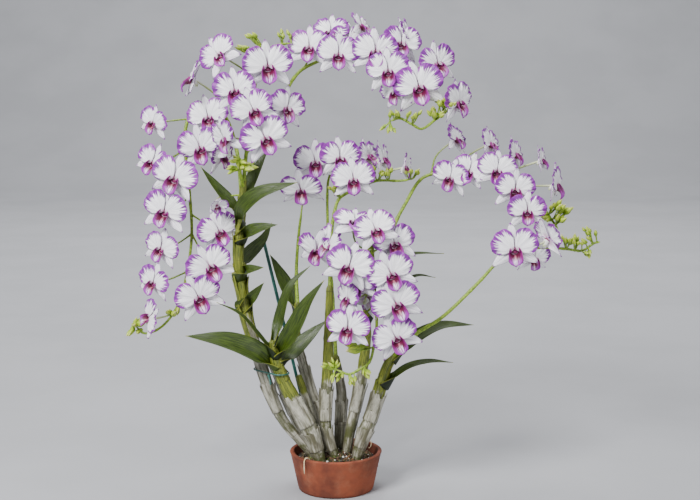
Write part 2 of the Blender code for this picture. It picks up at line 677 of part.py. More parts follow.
def make_stake(finish):
    """Make the plant stake and return its cutter for the mix."""
    foot = from_rim(STAKE_FOOT)
    top = from_rim(STAKE_TOP)
    radius = STAKE_DIAMETER / 2
    verts, faces = tube([foot, top], [radius] * 2, STAKE_SIDES)
    add_object("plant_stake", verts, faces, finish)
    verts, faces = tube(lengthened([foot, top], FIT_GAP), [radius + CUTTER_GAP] * 2, STAKE_SIDES)
    cutter = add_object("cutter_stake", verts, faces, finish)
    hide_operand(cutter)
    return cutter


def at_height(route, radii, height):
    """Return the centre and radius of a cane where it passes a height."""
    for start, end, first, second in zip(route, route[1:], radii, radii[1:]):
        if start.z <= height <= end.z:
            share = (height - start.z) / (end.z - start.z)
            return start.lerp(end, share), first + (second - first) * share
    return route[-1], radii[-1]


def outer_hull(points):
    """Return the convex hull of (x, y) points, anticlockwise."""
    points = sorted(points)

    def half_hull(ordered):
        """Return one side of the hull."""
        side = []
        for point in ordered:
            while len(side) > 1 and ((side[-1][0] - side[-2][0]) * (point[1] - side[-2][1])
                                     - (side[-1][1] - side[-2][1]) * (point[0] - side[-2][0])) <= 0:
                side.pop()
            side.append(point)
        return side[:-1]

    return half_hull(points) + half_hull(points[::-1])


def make_tie(finish):
    """Make the wire tie, a loop drawn round the tied canes at one height."""
    wire = TIE_WIRE_DIAMETER / 2
    height = POT_HEIGHT + TIE_HEIGHT
    rim_points = []
    for name in TIED_CANES:
        route = cane_route(name)
        centre, radius = at_height(route, cane_radii(name, route, 0), height)
        way = directions(route)[len(route) // 2]
        stand_off = radius / max(way.z, 0.5) + wire + 4 * FIT_GAP
        for k in range(16):
            turn = math.tau * k / 16
            rim_points.append((centre.x + stand_off * math.cos(turn), centre.y + stand_off * math.sin(turn)))
    loop = [Vector((x, y, height)) for x, y in outer_hull(rim_points)]
    verts = []
    sides = WIRE_SIDES
    count = len(loop)
    for k, centre in enumerate(loop):
        way = (loop[(k + 1) % count] - loop[k - 1]).normalized()
        outward = way.cross(Vector((0, 0, 1)))
        for side in range(sides):
            turn = math.tau * side / sides
            verts.append(centre + wire * (math.cos(turn) * outward + math.sin(turn) * Vector((0, 0, 1))))
    faces = []
    for k in range(count):
        for side in range(sides):
            a = k * sides + side
            b = k * sides + (side + 1) % sides
            c = ((k + 1) % count) * sides + (side + 1) % sides
            d = ((k + 1) % count) * sides + side
            faces.append((a, d, c, b))
    add_object("wire_tie", verts, faces, finish)


def make_strand(cane_cutter, finish):
    """Make the dry root strand: out of the mix beside its nearest cane, and over the rim."""
    radius = STRAND_DIAMETER / 2
    clear = radius + 2 * FIT_GAP
    rim = POT_RIM_DIAMETER / 2
    wall_slope = math.atan2(pot_inner_radius(POT_HEIGHT) - pot_inner_radius(0), POT_HEIGHT)
    stand_off = clear / math.cos(wall_slope)
    low = POT_HEIGHT - MIX_BELOW_RIM + clear + 0.001
    halfway = low + 0.004
    high = POT_HEIGHT - 0.001
    turn = math.radians(STRAND_ANGLE)
    outward = Vector((math.cos(turn), math.sin(turn), 0))
    profile = [
        (pot_inner_radius(low) - stand_off - 0.005, low),
        (pot_inner_radius(halfway) - stand_off - 0.001, halfway),
        (pot_inner_radius(high) - stand_off, high),
        (pot_inner_radius(POT_HEIGHT) + 0.001, POT_HEIGHT + clear),
        (rim - 0.001, POT_HEIGHT + clear),
        (rim + clear, POT_HEIGHT - 0.002),
        (rim + clear + 0.0005, POT_HEIGHT - STRAND_HANG / 2),
        (rim + clear, POT_HEIGHT - STRAND_HANG),
    ]
    route = [outward * reach + Vector((0, 0, height)) for reach, height in profile]
    verts, faces = tube(route, [radius] * len(route), WIRE_SIDES)
    strand = add_object("root_strand", verts, faces, finish)
    boolean(strand, cane_cutter, "DIFFERENCE")


def main():
    """Build the whole plant in its pot."""
    clear_scene()
    clay = material("Terracotta", (0.42, 0.17, 0.09), 0.8)
    earth = material("Potting mix", (0.06, 0.04, 0.03), 0.95)
    papery = material("Papery cane", (0.42, 0.40, 0.32), 0.7)
    green = material("Leaf green", (0.06, 0.16, 0.03), 0.45)
    petal = material("Petal white and violet", (0.80, 0.70, 0.82), 0.5)
    coated = material("Green coated wire", (0.05, 0.22, 0.12), 0.5)
    dry_root = material("Dry root", (0.62, 0.52, 0.38), 0.8)

    make_pot(clay)
    cutters = make_canes(papery)
    stake_cutter = make_stake(coated)
    make_mix(earth, list(cutters.values()), stake_cutter)
    make_tie(coated)
    make_strand(cutters["cane_front_left"], dry_root)
    for name, (cane, points, width, upper_side) in LEAVES.items():
        make_leaf(name, cane, cutters[cane], points, width, upper_side, green)
    for name, spec in SPRAYS.items():
        make_spray(name, spec, cutters[spec["cane"]], petal)


main()
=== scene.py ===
"""Visual model of a potted orchid: papery canes, strap leaves and arching sprays of violet-edged flowers.

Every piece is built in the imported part's own frame: metres, Z up, origin at the centre of the pot's foot.
Plant positions are in millimetres from the centre of the pot's rim, as in the part's source.
A flower's own shapes are in shares of half its span: X to its right, Y up, Z the way it faces.
"""

import logging
import math
from dataclasses import dataclass, field
from enum import Enum

import bmesh
import bpy
import numpy as np
from mathutils import Matrix, Vector, noise


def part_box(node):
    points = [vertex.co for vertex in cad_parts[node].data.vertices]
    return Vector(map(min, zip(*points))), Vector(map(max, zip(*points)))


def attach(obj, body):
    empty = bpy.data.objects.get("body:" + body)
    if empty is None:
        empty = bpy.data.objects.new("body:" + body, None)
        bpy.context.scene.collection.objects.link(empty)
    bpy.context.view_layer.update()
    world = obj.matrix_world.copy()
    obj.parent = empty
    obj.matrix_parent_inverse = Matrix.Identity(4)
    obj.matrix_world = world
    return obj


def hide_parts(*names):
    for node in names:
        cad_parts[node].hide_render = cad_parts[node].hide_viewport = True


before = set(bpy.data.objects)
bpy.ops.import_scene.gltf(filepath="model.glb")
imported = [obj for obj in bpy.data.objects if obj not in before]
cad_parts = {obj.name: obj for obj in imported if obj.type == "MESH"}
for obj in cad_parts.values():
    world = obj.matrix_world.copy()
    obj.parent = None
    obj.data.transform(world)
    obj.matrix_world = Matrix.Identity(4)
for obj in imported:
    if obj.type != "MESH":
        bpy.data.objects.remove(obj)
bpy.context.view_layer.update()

BODY = "root"
MM = 0.001
POT_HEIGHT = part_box("pot")[1].z
POT_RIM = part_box("pot")[1].x
LOG = logging.getLogger("orchid")
FULLNESS = 0.98  # how wide an open flower stands, as a share of its plan's span

Point = tuple[float, float, float]
Colour = tuple[float, float, float, float]
Value = float | bpy.types.NodeSocket


class Slot(Enum):
    """The record's material slots."""

    CLAY = "clay"
    MIX = "mix"
    CANE = "cane"
    LEAF = "leaf"
    FLOWER = "flower"
    COATED = "coated"
    DRY_ROOT = "dry_root"


# ------------------------------------------------------------------ plans, as in the part's source


@dataclass(frozen=True)
class CanePlan:
    """One cane: its route in mm, thickness in mm at foot, middle and top, and how it is coloured."""

    points: tuple[Point, ...]
    thickness: tuple[float, float, float]
    green_from: float = 0.9
    grime: float = 0.3


@dataclass(frozen=True)
class LeafPlan:
    """One leaf: its cane, its midrib in mm, its width in mm and the way that its upper side looks."""

    cane: str
    points: tuple[Point, ...]
    width: float
    upper_side: Point
    cup: float = 0.24


@dataclass(frozen=True)
class SprayPlan:
    """One spray: its stem's route in mm, then flowers and buds.

    A flower is its place in mm, turn, nod and lean in degrees, and size. A bud is its place and size.
    Sway is a place across in mm, and how many degrees flowers on its left and right lean further.
    """

    stem: tuple[Point, ...]
    flowers: tuple[tuple[Point, float, float, float, float], ...] = ()
    buds: tuple[tuple[Point, float], ...] = ()
    sway: Point = (0, -8, -8)


CANES = {
    "cane_tall_left": CanePlan(
        ((-34, -6, -8), (-41, -6, 3), (-53, -6, 17), (-76, -6, 47), (-92, -6, 83), (-105, -6, 125),
         (-115, -6, 158), (-126, -5, 200), (-135, -4, 272), (-132, -2, 315), (-130, 0, 350), (-126, 0, 385)),
        (14, 18, 9), green_from=0.55),
    "cane_behind_left": CanePlan(
        ((-32, 23, -8), (-46, 25, 16), (-64, 26, 54), (-80, 26, 95), (-91, 25, 122), (-99, 24, 146)),
        (14, 18, 13)),
    "cane_front_left": CanePlan(
        ((-22, -30, -8), (-35, -31, 34), (-53, -32, 70), (-67, -33, 98), (-79, -33, 126),
         (-85, -33, 150), (-88, -33, 164)),
        (17, 24, 9), green_from=0.58, grime=0.5),
    "cane_inner_left": CanePlan(
        ((-14, 21, -8), (-26, 22, 47), (-38, 22, 87), (-49, 22, 127), (-55, 21, 155), (-56, 20, 188),
         (-54, 20, 208)),
        (14, 16, 8), green_from=0.72, grime=0.05),
    "cane_centre": CanePlan(
        ((-2, -15, -8), (-8, -15, 14), (-14, -14, 40), (-13, -14, 80), (-11, -14, 123), (-10, -13, 163),
         (-9, -12, 202), (-8, -10, 237)),
        (14, 17, 9), green_from=0.5, grime=0.6),
    "cane_behind_centre": CanePlan(
        ((4, 17, -8), (6, 18, 27), (8, 20, 70), (5, 20, 99), (-1, 19, 133)),
        (14, 17, 10), grime=0.3),
    "cane_inner_right": CanePlan(
        ((15, -2, -8), (19, -2, 20), (25, -2, 50), (33, -2, 86), (38, -2, 118), (43, -3, 160),
         (43, -3, 190), (47, -3, 217)),
        (14, 17, 9), green_from=0.6, grime=0.5),
    "cane_right": CanePlan(
        ((30, -16, -8), (38, -17, 22), (47, -17, 45), (56, -16, 72), (64, -15, 100), (72, -14, 123),
         (80, -12, 139)),
        (14, 21, 11), green_from=0.7, grime=0.6),
    "cane_stub": CanePlan(
        ((-19, -1, -8), (-27, 0, 24), (-38, 1, 62), (-48, 2, 92), (-53, 2, 107)),
        (11, 13, 9), green_from=0.8),
}

SHEATHS = (
    ("cane_tall_left", 0.24, 0.34, 250), ("cane_front_left", 0.38, 0.60, 230), ("cane_front_left", 0.20, 0.34, 310),
    ("cane_inner_left", 0.40, 0.62, 240), ("cane_centre", 0.30, 0.46, 290), ("cane_centre", 0.14, 0.26, 250),
    ("cane_behind_centre", 0.42, 0.60, 270), ("cane_inner_right", 0.36, 0.52, 260), ("cane_right", 0.46, 0.68, 250),
    ("cane_right", 0.24, 0.40, 300), ("cane_behind_left", 0.45, 0.62, 270))

LEAVES = {
    "leaf_low_left": LeafPlan("cane_front_left", ((-80, -33, 128), (-112, -48, 154), (-152, -56, 170),
                                                  (-203, -60, 176)), 30, (0.1, -1, 0.7)),
    "leaf_strip_left": LeafPlan("cane_front_left", ((-83, -33, 142), (-102, -46, 172), (-128, -56, 205),
                                                    (-160, -62, 222)), 10, (0.5, -0.5, 1)),
    "leaf_front_broad": LeafPlan("cane_front_left", ((-83, -33, 142), (-62, -52, 176), (-38, -62, 222),
                                                     (-14, -68, 254)), 27, (-0.5, -1, 0.5)),
    "leaf_front_narrow": LeafPlan("cane_front_left", ((-86, -33, 154), (-80, -16, 185), (-64, -18, 236),
                                                      (-35, -14, 265)), 16, (-0.4, -1, 0.4)),
    "leaf_centre_broad": LeafPlan("cane_front_left", ((-80, -33, 130), (-60, -10, 144), (-36, 0, 165),
                                                      (-12, 4, 186)), 24, (-0.3, -1, 0.5)),
    "leaf_pale_long": LeafPlan("cane_tall_left", ((-132, -2, 318), (-128, -28, 346), (-100, -44, 370),
                                                  (-50, -56, 384)), 24, (-0.3, -1, 0.5)),
    "leaf_folded": LeafPlan("cane_tall_left", ((-133, -3, 300), (-118, -26, 314), (-98, -38, 322),
                                               (-78, -46, 326)), 20, (-0.2, -1, 0.5), 0.75),
    "leaf_short": LeafPlan("cane_tall_left", ((-134, -4, 250), (-122, -22, 260), (-98, -34, 266)),
                           18, (0, -0.8, 0.8), 0.85),
    "leaf_dark_low": LeafPlan("cane_tall_left", ((-130, -5, 205), (-116, -20, 222), (-98, -28, 244)),
                              16, (0.4, -1, 0.4), 0.8),
    "leaf_inner_left": LeafPlan("cane_inner_left", ((-55, 20, 195), (-66, 30, 222), (-84, 36, 256),
                                                    (-94, 38, 274)), 22, (0.4, -1, 0.3)),
    "leaf_back_left": LeafPlan("cane_tall_left", ((-135, -4, 262), (-124, 14, 276), (-104, 24, 296),
                                                  (-90, 30, 320)), 20, (0.5, -0.9, 0.3)),
    "leaf_upper_left": LeafPlan("cane_tall_left", ((-131, -1, 335), (-150, -6, 358), (-166, -10, 378),
                                                   (-184, -14, 402)), 18, (0.6, -0.8, 0.5)),
    "leaf_upright": LeafPlan("cane_tall_left", ((-130, 0, 355), (-118, 14, 380), (-106, 20, 404),
                                                (-94, 26, 424)), 20, (-0.5, -1, 0.3)),
    "leaf_right_high": LeafPlan("cane_inner_right", ((44, -3, 200), (72, -16, 252), (100, -14, 280),
                                                     (150, -8, 281)), 12, (0, -0.5, 1)),
    "leaf_right_mid": LeafPlan("cane_inner_right", ((43, -3, 186), (78, -16, 230), (110, -20, 252),
                                                    (138, -20, 250)), 12, (0, -0.5, 1)),
    "leaf_right_broad": LeafPlan("cane_right", ((78, -13, 130), (108, -2, 160), (148, 4, 178),
                                                (194, 6, 178)), 20, (0, -0.9, 0.8)),
    "leaf_right_low": LeafPlan("cane_right", ((67, -15, 98), (98, -30, 126), (128, -36, 136),
                                              (162, -38, 134)), 12, (0, -0.7, 1)),
}

SPRAYS = {
    "spray_left_arch": SprayPlan(
        sway=(-205, 24, -22),
        stem=((-130, 0, 362), (-137, 26, 415), (-152, 44, 462), (-176, 48, 488), (-200, 46, 480),
              (-212, 40, 445), (-209, 34, 400), (-205, 28, 358), (-202, 20, 305), (-208, 12, 253),
              (-220, 5, 208), (-242, 0, 178), (-266, -4, 168), (-280, -6, 180)),
        flowers=(
            ((-200, 20, 520), -80, 20, 10, 1.0), ((-252, 10, 460), -35, -5, -12, 0.8),
            ((-176, 16, 466), -10, 0, 5, 1.0), ((-186, 6, 424), -12, -8, 0, 1.08),
            ((-158, 16, 412), 60, -10, 0, 0.8), ((-256, 20, 404), -30, 0, 0, 0.9),
            ((-222, -8, 384), -15, 0, -8, 1.1), ((-236, -10, 338), -20, 0, -8, 1.08),
            ((-160, -8, 310), 15, 0, 5, 0.98), ((-162, -24, 350), 30, -20, 25, 0.6),
            ((-242, -8, 286), -25, 0, 0, 0.9), ((-172, -16, 262), 12, 0, 0, 1.08),
            ((-252, -14, 240), -32, 0, 0, 0.88), ((-188, -22, 220), 10, -5, 0, 1.1),
            ((-257, -26, 194), -60, 10, 30, 0.85)),
        buds=(((-224, -14, 198), 0.8), ((-270, -12, 184), 0.9), ((-284, -8, 172), 0.7))),
    "spray_top_left": SprayPlan(
        sway=(0, -24, -24),
        stem=((-127, 0, 376), (-122, -10, 420), (-114, -12, 470), (-108, -8, 520), (-100, 2, 552),
              (-84, 10, 566), (-60, 14, 570)),
        flowers=(
            ((-156, -22, 552), -25, 10, -20, 0.95), ((-90, -34, 536), 10, -8, 14, 1.1),
            ((-134, -40, 504), -12, -5, 10, 1.0), ((-108, -48, 478), 0, -8, -6, 1.0),
            ((-148, -38, 440), -50, -15, 0, 0.95), ((-93, -44, 440), 8, -5, -4, 1.08),
            ((-66, -18, 480), 35, -5, 30, 0.95)),
        buds=(((-113, 6, 578), 0.6), ((-126, 2, 560), 0.6), ((-72, 16, 580), 0.5))),
    "spray_top_right": SprayPlan(
        sway=(110, -4, -14),
        stem=((-131, 0, 346), (-120, 44, 396), (-98, 56, 450), (-72, 54, 500), (-54, 50, 528),
              (-32, 46, 542), (8, 42, 556), (60, 38, 548), (108, 32, 515), (140, 22, 490),
              (150, 4, 478), (136, -14, 466), (118, -20, 454), (104, -20, 460), (88, -18, 468),
              (74, -20, 464)),
        flowers=(
            ((-36, 14, 562), -10, 5, 4, 0.98), ((4, 4, 552), 5, 0, 0, 0.98),
            ((-7, 34, 584), -10, 20, 0, 0.85), ((37, 28, 592), 65, 30, 20, 0.8),
            ((17, 30, 572), 10, 10, 0, 0.85), ((55, 0, 556), 0, 0, 0, 1.05),
            ((90, 14, 568), 20, 5, 10, 0.95), ((72, -8, 530), -5, -5, 0, 1.0),
            ((114, -12, 508), 0, -5, 4, 1.18), ((140, 4, 540), 30, 5, 10, 1.0),
            ((82, 6, 502), -40, -10, 0, 0.85), ((168, -10, 488), 50, 0, 12, 1.0),
            ((100, 30, 582), 75, 20, 0, 0.8)),
        buds=(((150, -20, 488), 0.8), ((134, -26, 474), 0.8), ((108, -28, 472), 0.6),
              ((84, -26, 474), 0.6), ((72, -24, 452), 0.5))),
    "spray_centre_left": SprayPlan(
        stem=((-54, 20, 204), (-56, 32, 250), (-53, 38, 299), (-48, 38, 338)),
        flowers=(((-48, 14, 366), -10, -30, 0, 1.0),)),
    "spray_centre": SprayPlan(
        stem=((0, 19, 128), (-4, 36, 200), (-10, 42, 280), (-12, 42, 334), (-11, 40, 376),
              (-4, 40, 396)),
        flowers=(((-28, 18, 404), -5, -5, 0, 1.0), ((6, 12, 410), 10, 0, 0, 0.95))),
    "spray_centre_right": SprayPlan(
        stem=((-8, -11, 232), (-7, 0, 280), (-5, 8, 316), (2, 12, 350), (14, 14, 362),
              (36, 16, 372), (58, 18, 380), (88, 18, 380), (104, 16, 382)),
        flowers=(((25, -12, 382), 0, -5, 0, 0.98), ((46, 16, 414), 60, 15, 0, 0.8),
                 ((66, 14, 410), 70, 10, 0, 0.8), ((98, 10, 398), 75, 0, 20, 0.7)),
        buds=(((48, -4, 394), 0.7), ((72, 2, 392), 0.7), ((-1, -4, 368), 0.6), ((104, 2, 394), 0.6))),
    "spray_upper_right": SprayPlan(
        sway=(200, 12, 2),
        stem=((46, -3, 212), (66, 18, 262), (82, 28, 315), (100, 32, 350), (116, 32, 377),
              (134, 32, 388), (173, 32, 394), (228, 30, 380), (270, 22, 358), (290, 14, 342),
              (300, 6, 327), (309, 0, 314)),
        flowers=(
            ((159, 10, 383), -25, -15, 0, 0.9), ((170, 34, 436), 60, 20, 0, 0.8),
            ((184, 4, 393), -10, 0, 0, 0.84), ((217, 30, 430), 60, 15, 0, 0.8),
            ((222, -6, 394), 0, 0, 0, 0.93), ((251, 20, 416), 65, 10, 0, 0.8),
            ((246, -16, 369), 5, -5, 0, 0.95), ((262, -26, 340), 0, 0, 0, 0.9),
            ((306, 4, 374), 70, 0, 0, 0.95), ((287, 18, 408), 70, 15, 0, 0.7)),
        buds=(((290, -4, 330), 0.7), ((308, -6, 346), 0.8), ((314, -8, 328), 0.7),
              ((322, -2, 340), 0.7))),
    "spray_lower_right": SprayPlan(
        stem=((80, -12, 136), (110, -24, 170), (150, -28, 198), (196, -30, 244), (222, -30, 272),
              (252, -28, 288), (284, -26, 292), (316, -26, 290), (337, -28, 288), (353, -28, 298),
              (362, -28, 300)),
        flowers=(((242, -56, 292), 0, 0, 0, 1.08), ((288, -50, 306), 120, 20, 0, 0.95),
                 ((276, 0, 272), 20, -20, 0, 0.8)),
        buds=(((306, -34, 304), 0.7), ((322, -34, 302), 0.7), ((338, -34, 302), 0.6),
              ((344, -36, 314), 0.5), ((346, -34, 282), 0.5))),
    "spray_front": SprayPlan(
        sway=(40, 12, -23),
        stem=((46, -3, 206), (50, -26, 262), (50, -46, 306), (50, -60, 320), (50, -70, 300),
              (52, -70, 250), (56, -68, 194), (52, -66, 162), (46, -64, 140), (32, -64, 130),
              (18, -64, 124), (0, -62, 130)),
        flowers=(
            ((-24, -52, 290), -30, -20, 0, 1.0), ((-8, -66, 300), -60, 10, 0, 0.95),
            ((18, -98, 274), -5, 0, 0, 1.08), ((26, -72, 330), 20, 50, 0, 1.0),
            ((54, -88, 322), 5, 15, 0, 0.95), ((79, -74, 302), 10, 0, 10, 1.0),
            ((75, -98, 264), 5, 0, 0, 1.05), ((82, -98, 224), 5, -5, 0, 1.1),
            ((82, -94, 178), 5, -10, 0, 1.05), ((32, -84, 250), -30, -10, 0, 0.9),
            ((18, -80, 229), -60, 0, 0, 0.9), ((17, -98, 192), -15, -5, 0, 1.0),
            ((44, -60, 226), 160, 0, 0, 0.9)),
        buds=(((26, -76, 160), 1.1), ((44, -74, 124), 0.6), ((24, -70, 114), 0.6),
              ((4, -68, 118), 0.5), ((-6, -62, 136), 0.5))),
    "spray_young": SprayPlan(
        stem=((-127, 0, 370), (-130, -14, 392), (-132, -20, 410)),
        buds=(((-132, -20, 408), 0.8), ((-118, -24, 400), 0.8), ((-142, -20, 396), 0.5))),
}


# ------------------------------------------------------------------ routes and meshes


def from_rim(point: Point) -> Vector:
    """Turn a point in mm from the centre of the pot's rim into model metres."""
    return Vector((point[0] * MM, point[1] * MM, point[2] * MM + POT_HEIGHT))


def smooth_route(points: list[Vector], per_span: int) -> list[Vector]:
    """Read a Catmull-Rom curve through points.

    Args:
        points: The points that the curve passes through.
        per_span: Steps in each span between two points.

    Returns:
        The curve's points, both ends included.
    """
    padded = [2 * points[0] - points[1], *points, 2 * points[-1] - points[-2]]
    route = []
    for i in range(1, len(padded) - 2):
        before, start, end, after = padded[i - 1], padded[i], padded[i + 1], padded[i + 2]
        for step in range(per_span):
            t = step / per_span
            route.append(0.5 * (2 * start + (end - before) * t
                                + (2 * before - 5 * start + 4 * end - after) * t * t
                                + (3 * start - before - 3 * end + after) * t ** 3))
    route.append(points[-1].copy())
    return route


def lengths_along(route: list[Vector]) -> np.ndarray:
    """Return the length reached at each point of a route, in metres."""
    steps = [(end - start).length for start, end in zip(route, route[1:])]
    return np.concatenate([[0.0], np.cumsum(steps)])


def directions(route: list[Vector]) -> list[Vector]:
    """Return the unit direction of travel at each point of a route."""
    last = len(route) - 1
    return [(route[min(i + 1, last)] - route[max(i - 1, 0)]).normalized() for i in range(last + 1)]


def eased(at: np.ndarray, places: list[float], values: list[float]) -> np.ndarray:
    """Read a smooth curve through values at places.

    Args:
        at: Where to read it.
        places: Rising places of the values.
        values: The values there.

    Returns:
        The curve's value at each place asked for.
    """
    x, y = np.array(places, float), np.array(values, float)
    slope = np.gradient(y, x)
    k = np.clip(np.searchsorted(x, at, side="right") - 1, 0, len(x) - 2)
    width = x[k + 1] - x[k]
    t = np.clip((at - x[k]) / width, 0.0, 1.0)
    return (y[k] * (2 * t ** 3 - 3 * t ** 2 + 1) + y[k + 1] * (3 * t ** 2 - 2 * t ** 3)
            + width * (slope[k] * (t ** 3 - 2 * t ** 2 + t) + slope[k + 1] * (t ** 3 - t ** 2)))


@dataclass
class Shell:
    """A closed shell's points and four-cornered faces, with numbers carried at each point."""

    points: np.ndarray
    quads: np.ndarray
    carried: dict[str, np.ndarray] = field(default_factory=dict)
    finish: int = 0


def sheet_shell(grid: np.ndarray, thickness: np.ndarray | float, finish: int = 0,
                **carried: np.ndarray) -> Shell:
    """Give a grid of points a thickness.

    Args:
        grid: Points of shape (across, along, 3).
        thickness: The sheet's thickness, one number or one for each point.
        finish: Which of the piece's finishes the sheet wears.
        carried: Numbers of shape (across, along) that both faces carry.

    Returns:
        A closed shell with its faces outwards.
    """
    across, along = grid.shape[:2]
    normal = np.cross(np.gradient(grid, axis=0), np.gradient(grid, axis=1))
    normal /= np.maximum(np.linalg.norm(normal, axis=-1, keepdims=True), 1e-12)
    half = 0.5 * np.broadcast_to(np.asarray(thickness, float), (across, along))[..., None] * normal
    index = np.arange(across * along).reshape(across, along)
    corner, right, far, left = index[:-1, :-1], index[1:, :-1], index[1:, 1:], index[:-1, 1:]
    front = np.stack([corner, right, far, left], -1).reshape(-1, 4)
    back = np.stack([corner, left, far, right], -1).reshape(-1, 4) + across * along
    loop = np.concatenate([index[:, 0], index[-1, 1:], index[-2::-1, -1], index[0, -2:0:-1]])
    after = np.roll(loop, -1)
    edge = np.stack([loop, loop + across * along, after + across * along, after], -1)
    points = np.concatenate([(grid + half).reshape(-1, 3), (grid - half).reshape(-1, 3)])
    both = {name: np.tile(np.broadcast_to(value, (across, along)).reshape(-1), 2)
            for name, value in carried.items()}
    return Shell(points, np.concatenate([front, back, edge]), both, finish)


def tube_shell(centres: np.ndarray, radii: np.ndarray, sides: int, finish: int = 0,
               flatten: float = 1.0) -> Shell:
    """Make a closed tube along points in the flower's own Y-Z plane.

    Args:
        centres: Centre points of shape (rings, 3), all with the same X.
        radii: One radius for each ring.
        sides: Points round a ring.
        finish: Which of the piece's finishes the tube wears.
        flatten: The tube's depth as a share of its width.

    Returns:
        A closed shell with rounded ends drawn to small tips.
    """
    way = np.gradient(centres, axis=0)
    way /= np.linalg.norm(way, axis=1, keepdims=True)
    side = np.array([1.0, 0.0, 0.0])
    other = np.cross(way, side)
    turn = np.linspace(0, math.tau, sides, endpoint=False)
    ring = (np.cos(turn)[None, :, None] * side
            + flatten * np.sin(turn)[None, :, None] * other[:, None, :])
    points = centres[:, None, :] + radii[:, None, None] * ring
    rings = len(centres)
    index = np.arange(rings * sides).reshape(rings, sides)
    after = np.roll(index, -1, axis=1)
    body = np.stack([index[:-1], after[:-1], after[1:], index[1:]], -1).reshape(-1, 4)
    first, last = len(points.reshape(-1, 3)), len(points.reshape(-1, 3)) + 1
    start = np.stack([after[0], index[0], np.full(sides, first), np.full(sides, first)], -1)
    end = np.stack([index[-1], after[-1], np.full(sides, last), np.full(sides, last)], -1)
    points = np.concatenate([points.reshape(-1, 3), centres[:1], centres[-1:]])
    share = np.concatenate([np.repeat(np.linspace(0, 1, rings), sides), [0.0, 1.0]])
    return Shell(points, np.concatenate([body, start, end]), {"reach": share}, finish)


def joined_mesh(name: str, shells: list[Shell], carried: tuple[str, ...]) -> bpy.types.Mesh:
    """Join shells into one mesh, shaded smooth.

    Args:
        name: The mesh's name.
        shells: The shells, which may repeat a corner where a face has three.
        carried: Names of the numbers to store at each point; a shell without one gives 0.

    Returns:
        The mesh.
    """
    counts = np.cumsum([0] + [len(shell.points) for shell in shells])
    points = np.concatenate([shell.points for shell in shells])
    faces, finishes = [], []
    for shell, first in zip(shells, counts):
        for quad in (shell.quads + first).tolist():
            faces.append(quad if quad[2] != quad[3] else quad[:3])
        finishes += [shell.finish] * len(shell.quads)
    mesh = bpy.data.meshes.new(name)
    mesh.from_pydata(points.tolist(), [], faces)
    mesh.polygons.foreach_set("material_index", finishes)
    for key in carried:
        values = np.concatenate([shell.carried.get(key, np.zeros(len(shell.points))) for shell in shells])
        mesh.attributes.new(key, "FLOAT", "POINT").data.foreach_set("value", values.astype(np.float32))
    mesh.shade_smooth()
    mesh.update()
    return mesh


def linked(name: str, mesh: bpy.types.Mesh) -> bpy.types.Object:
    """Link a new object that shows a mesh, at the origin."""
    made = bpy.data.objects.new(name, mesh)
    bpy.context.scene.collection.objects.link(made)
    return made


def dressed(piece: bpy.types.Object, nodes: tuple[str, ...] = ()) -> bpy.types.Object:
    """Let a finished piece ride on the body and the CAD nodes that it stands for.

    Args:
        piece: The finished piece.
        nodes: CAD nodes that the piece replaces, if any.

    Returns:
        The same piece.
    """
    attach(piece, BODY)
    if nodes:
        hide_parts(*nodes)
    LOG.info("%s: %d faces", piece.name, len(piece.data.polygons))
    return piece


def evaluated_copy(name: str, source: bpy.types.Object) -> bpy.types.Object:
    """Turn an object's evaluated result into a plain mesh object, and remove the source.

    Args:
        name: The new object's name.
        source: An object whose modifiers make the shape.

    Returns:
        The plain object, without modifiers.
    """
    graph = bpy.context.evaluated_depsgraph_get()
    mesh = bpy.data.meshes.new_from_object(source.evaluated_get(graph), depsgraph=graph)
    bpy.data.objects.remove(source, do_unlink=True)
    mesh.name = name
    return linked(name, mesh)


# ------------------------------------------------------------------ node graphs


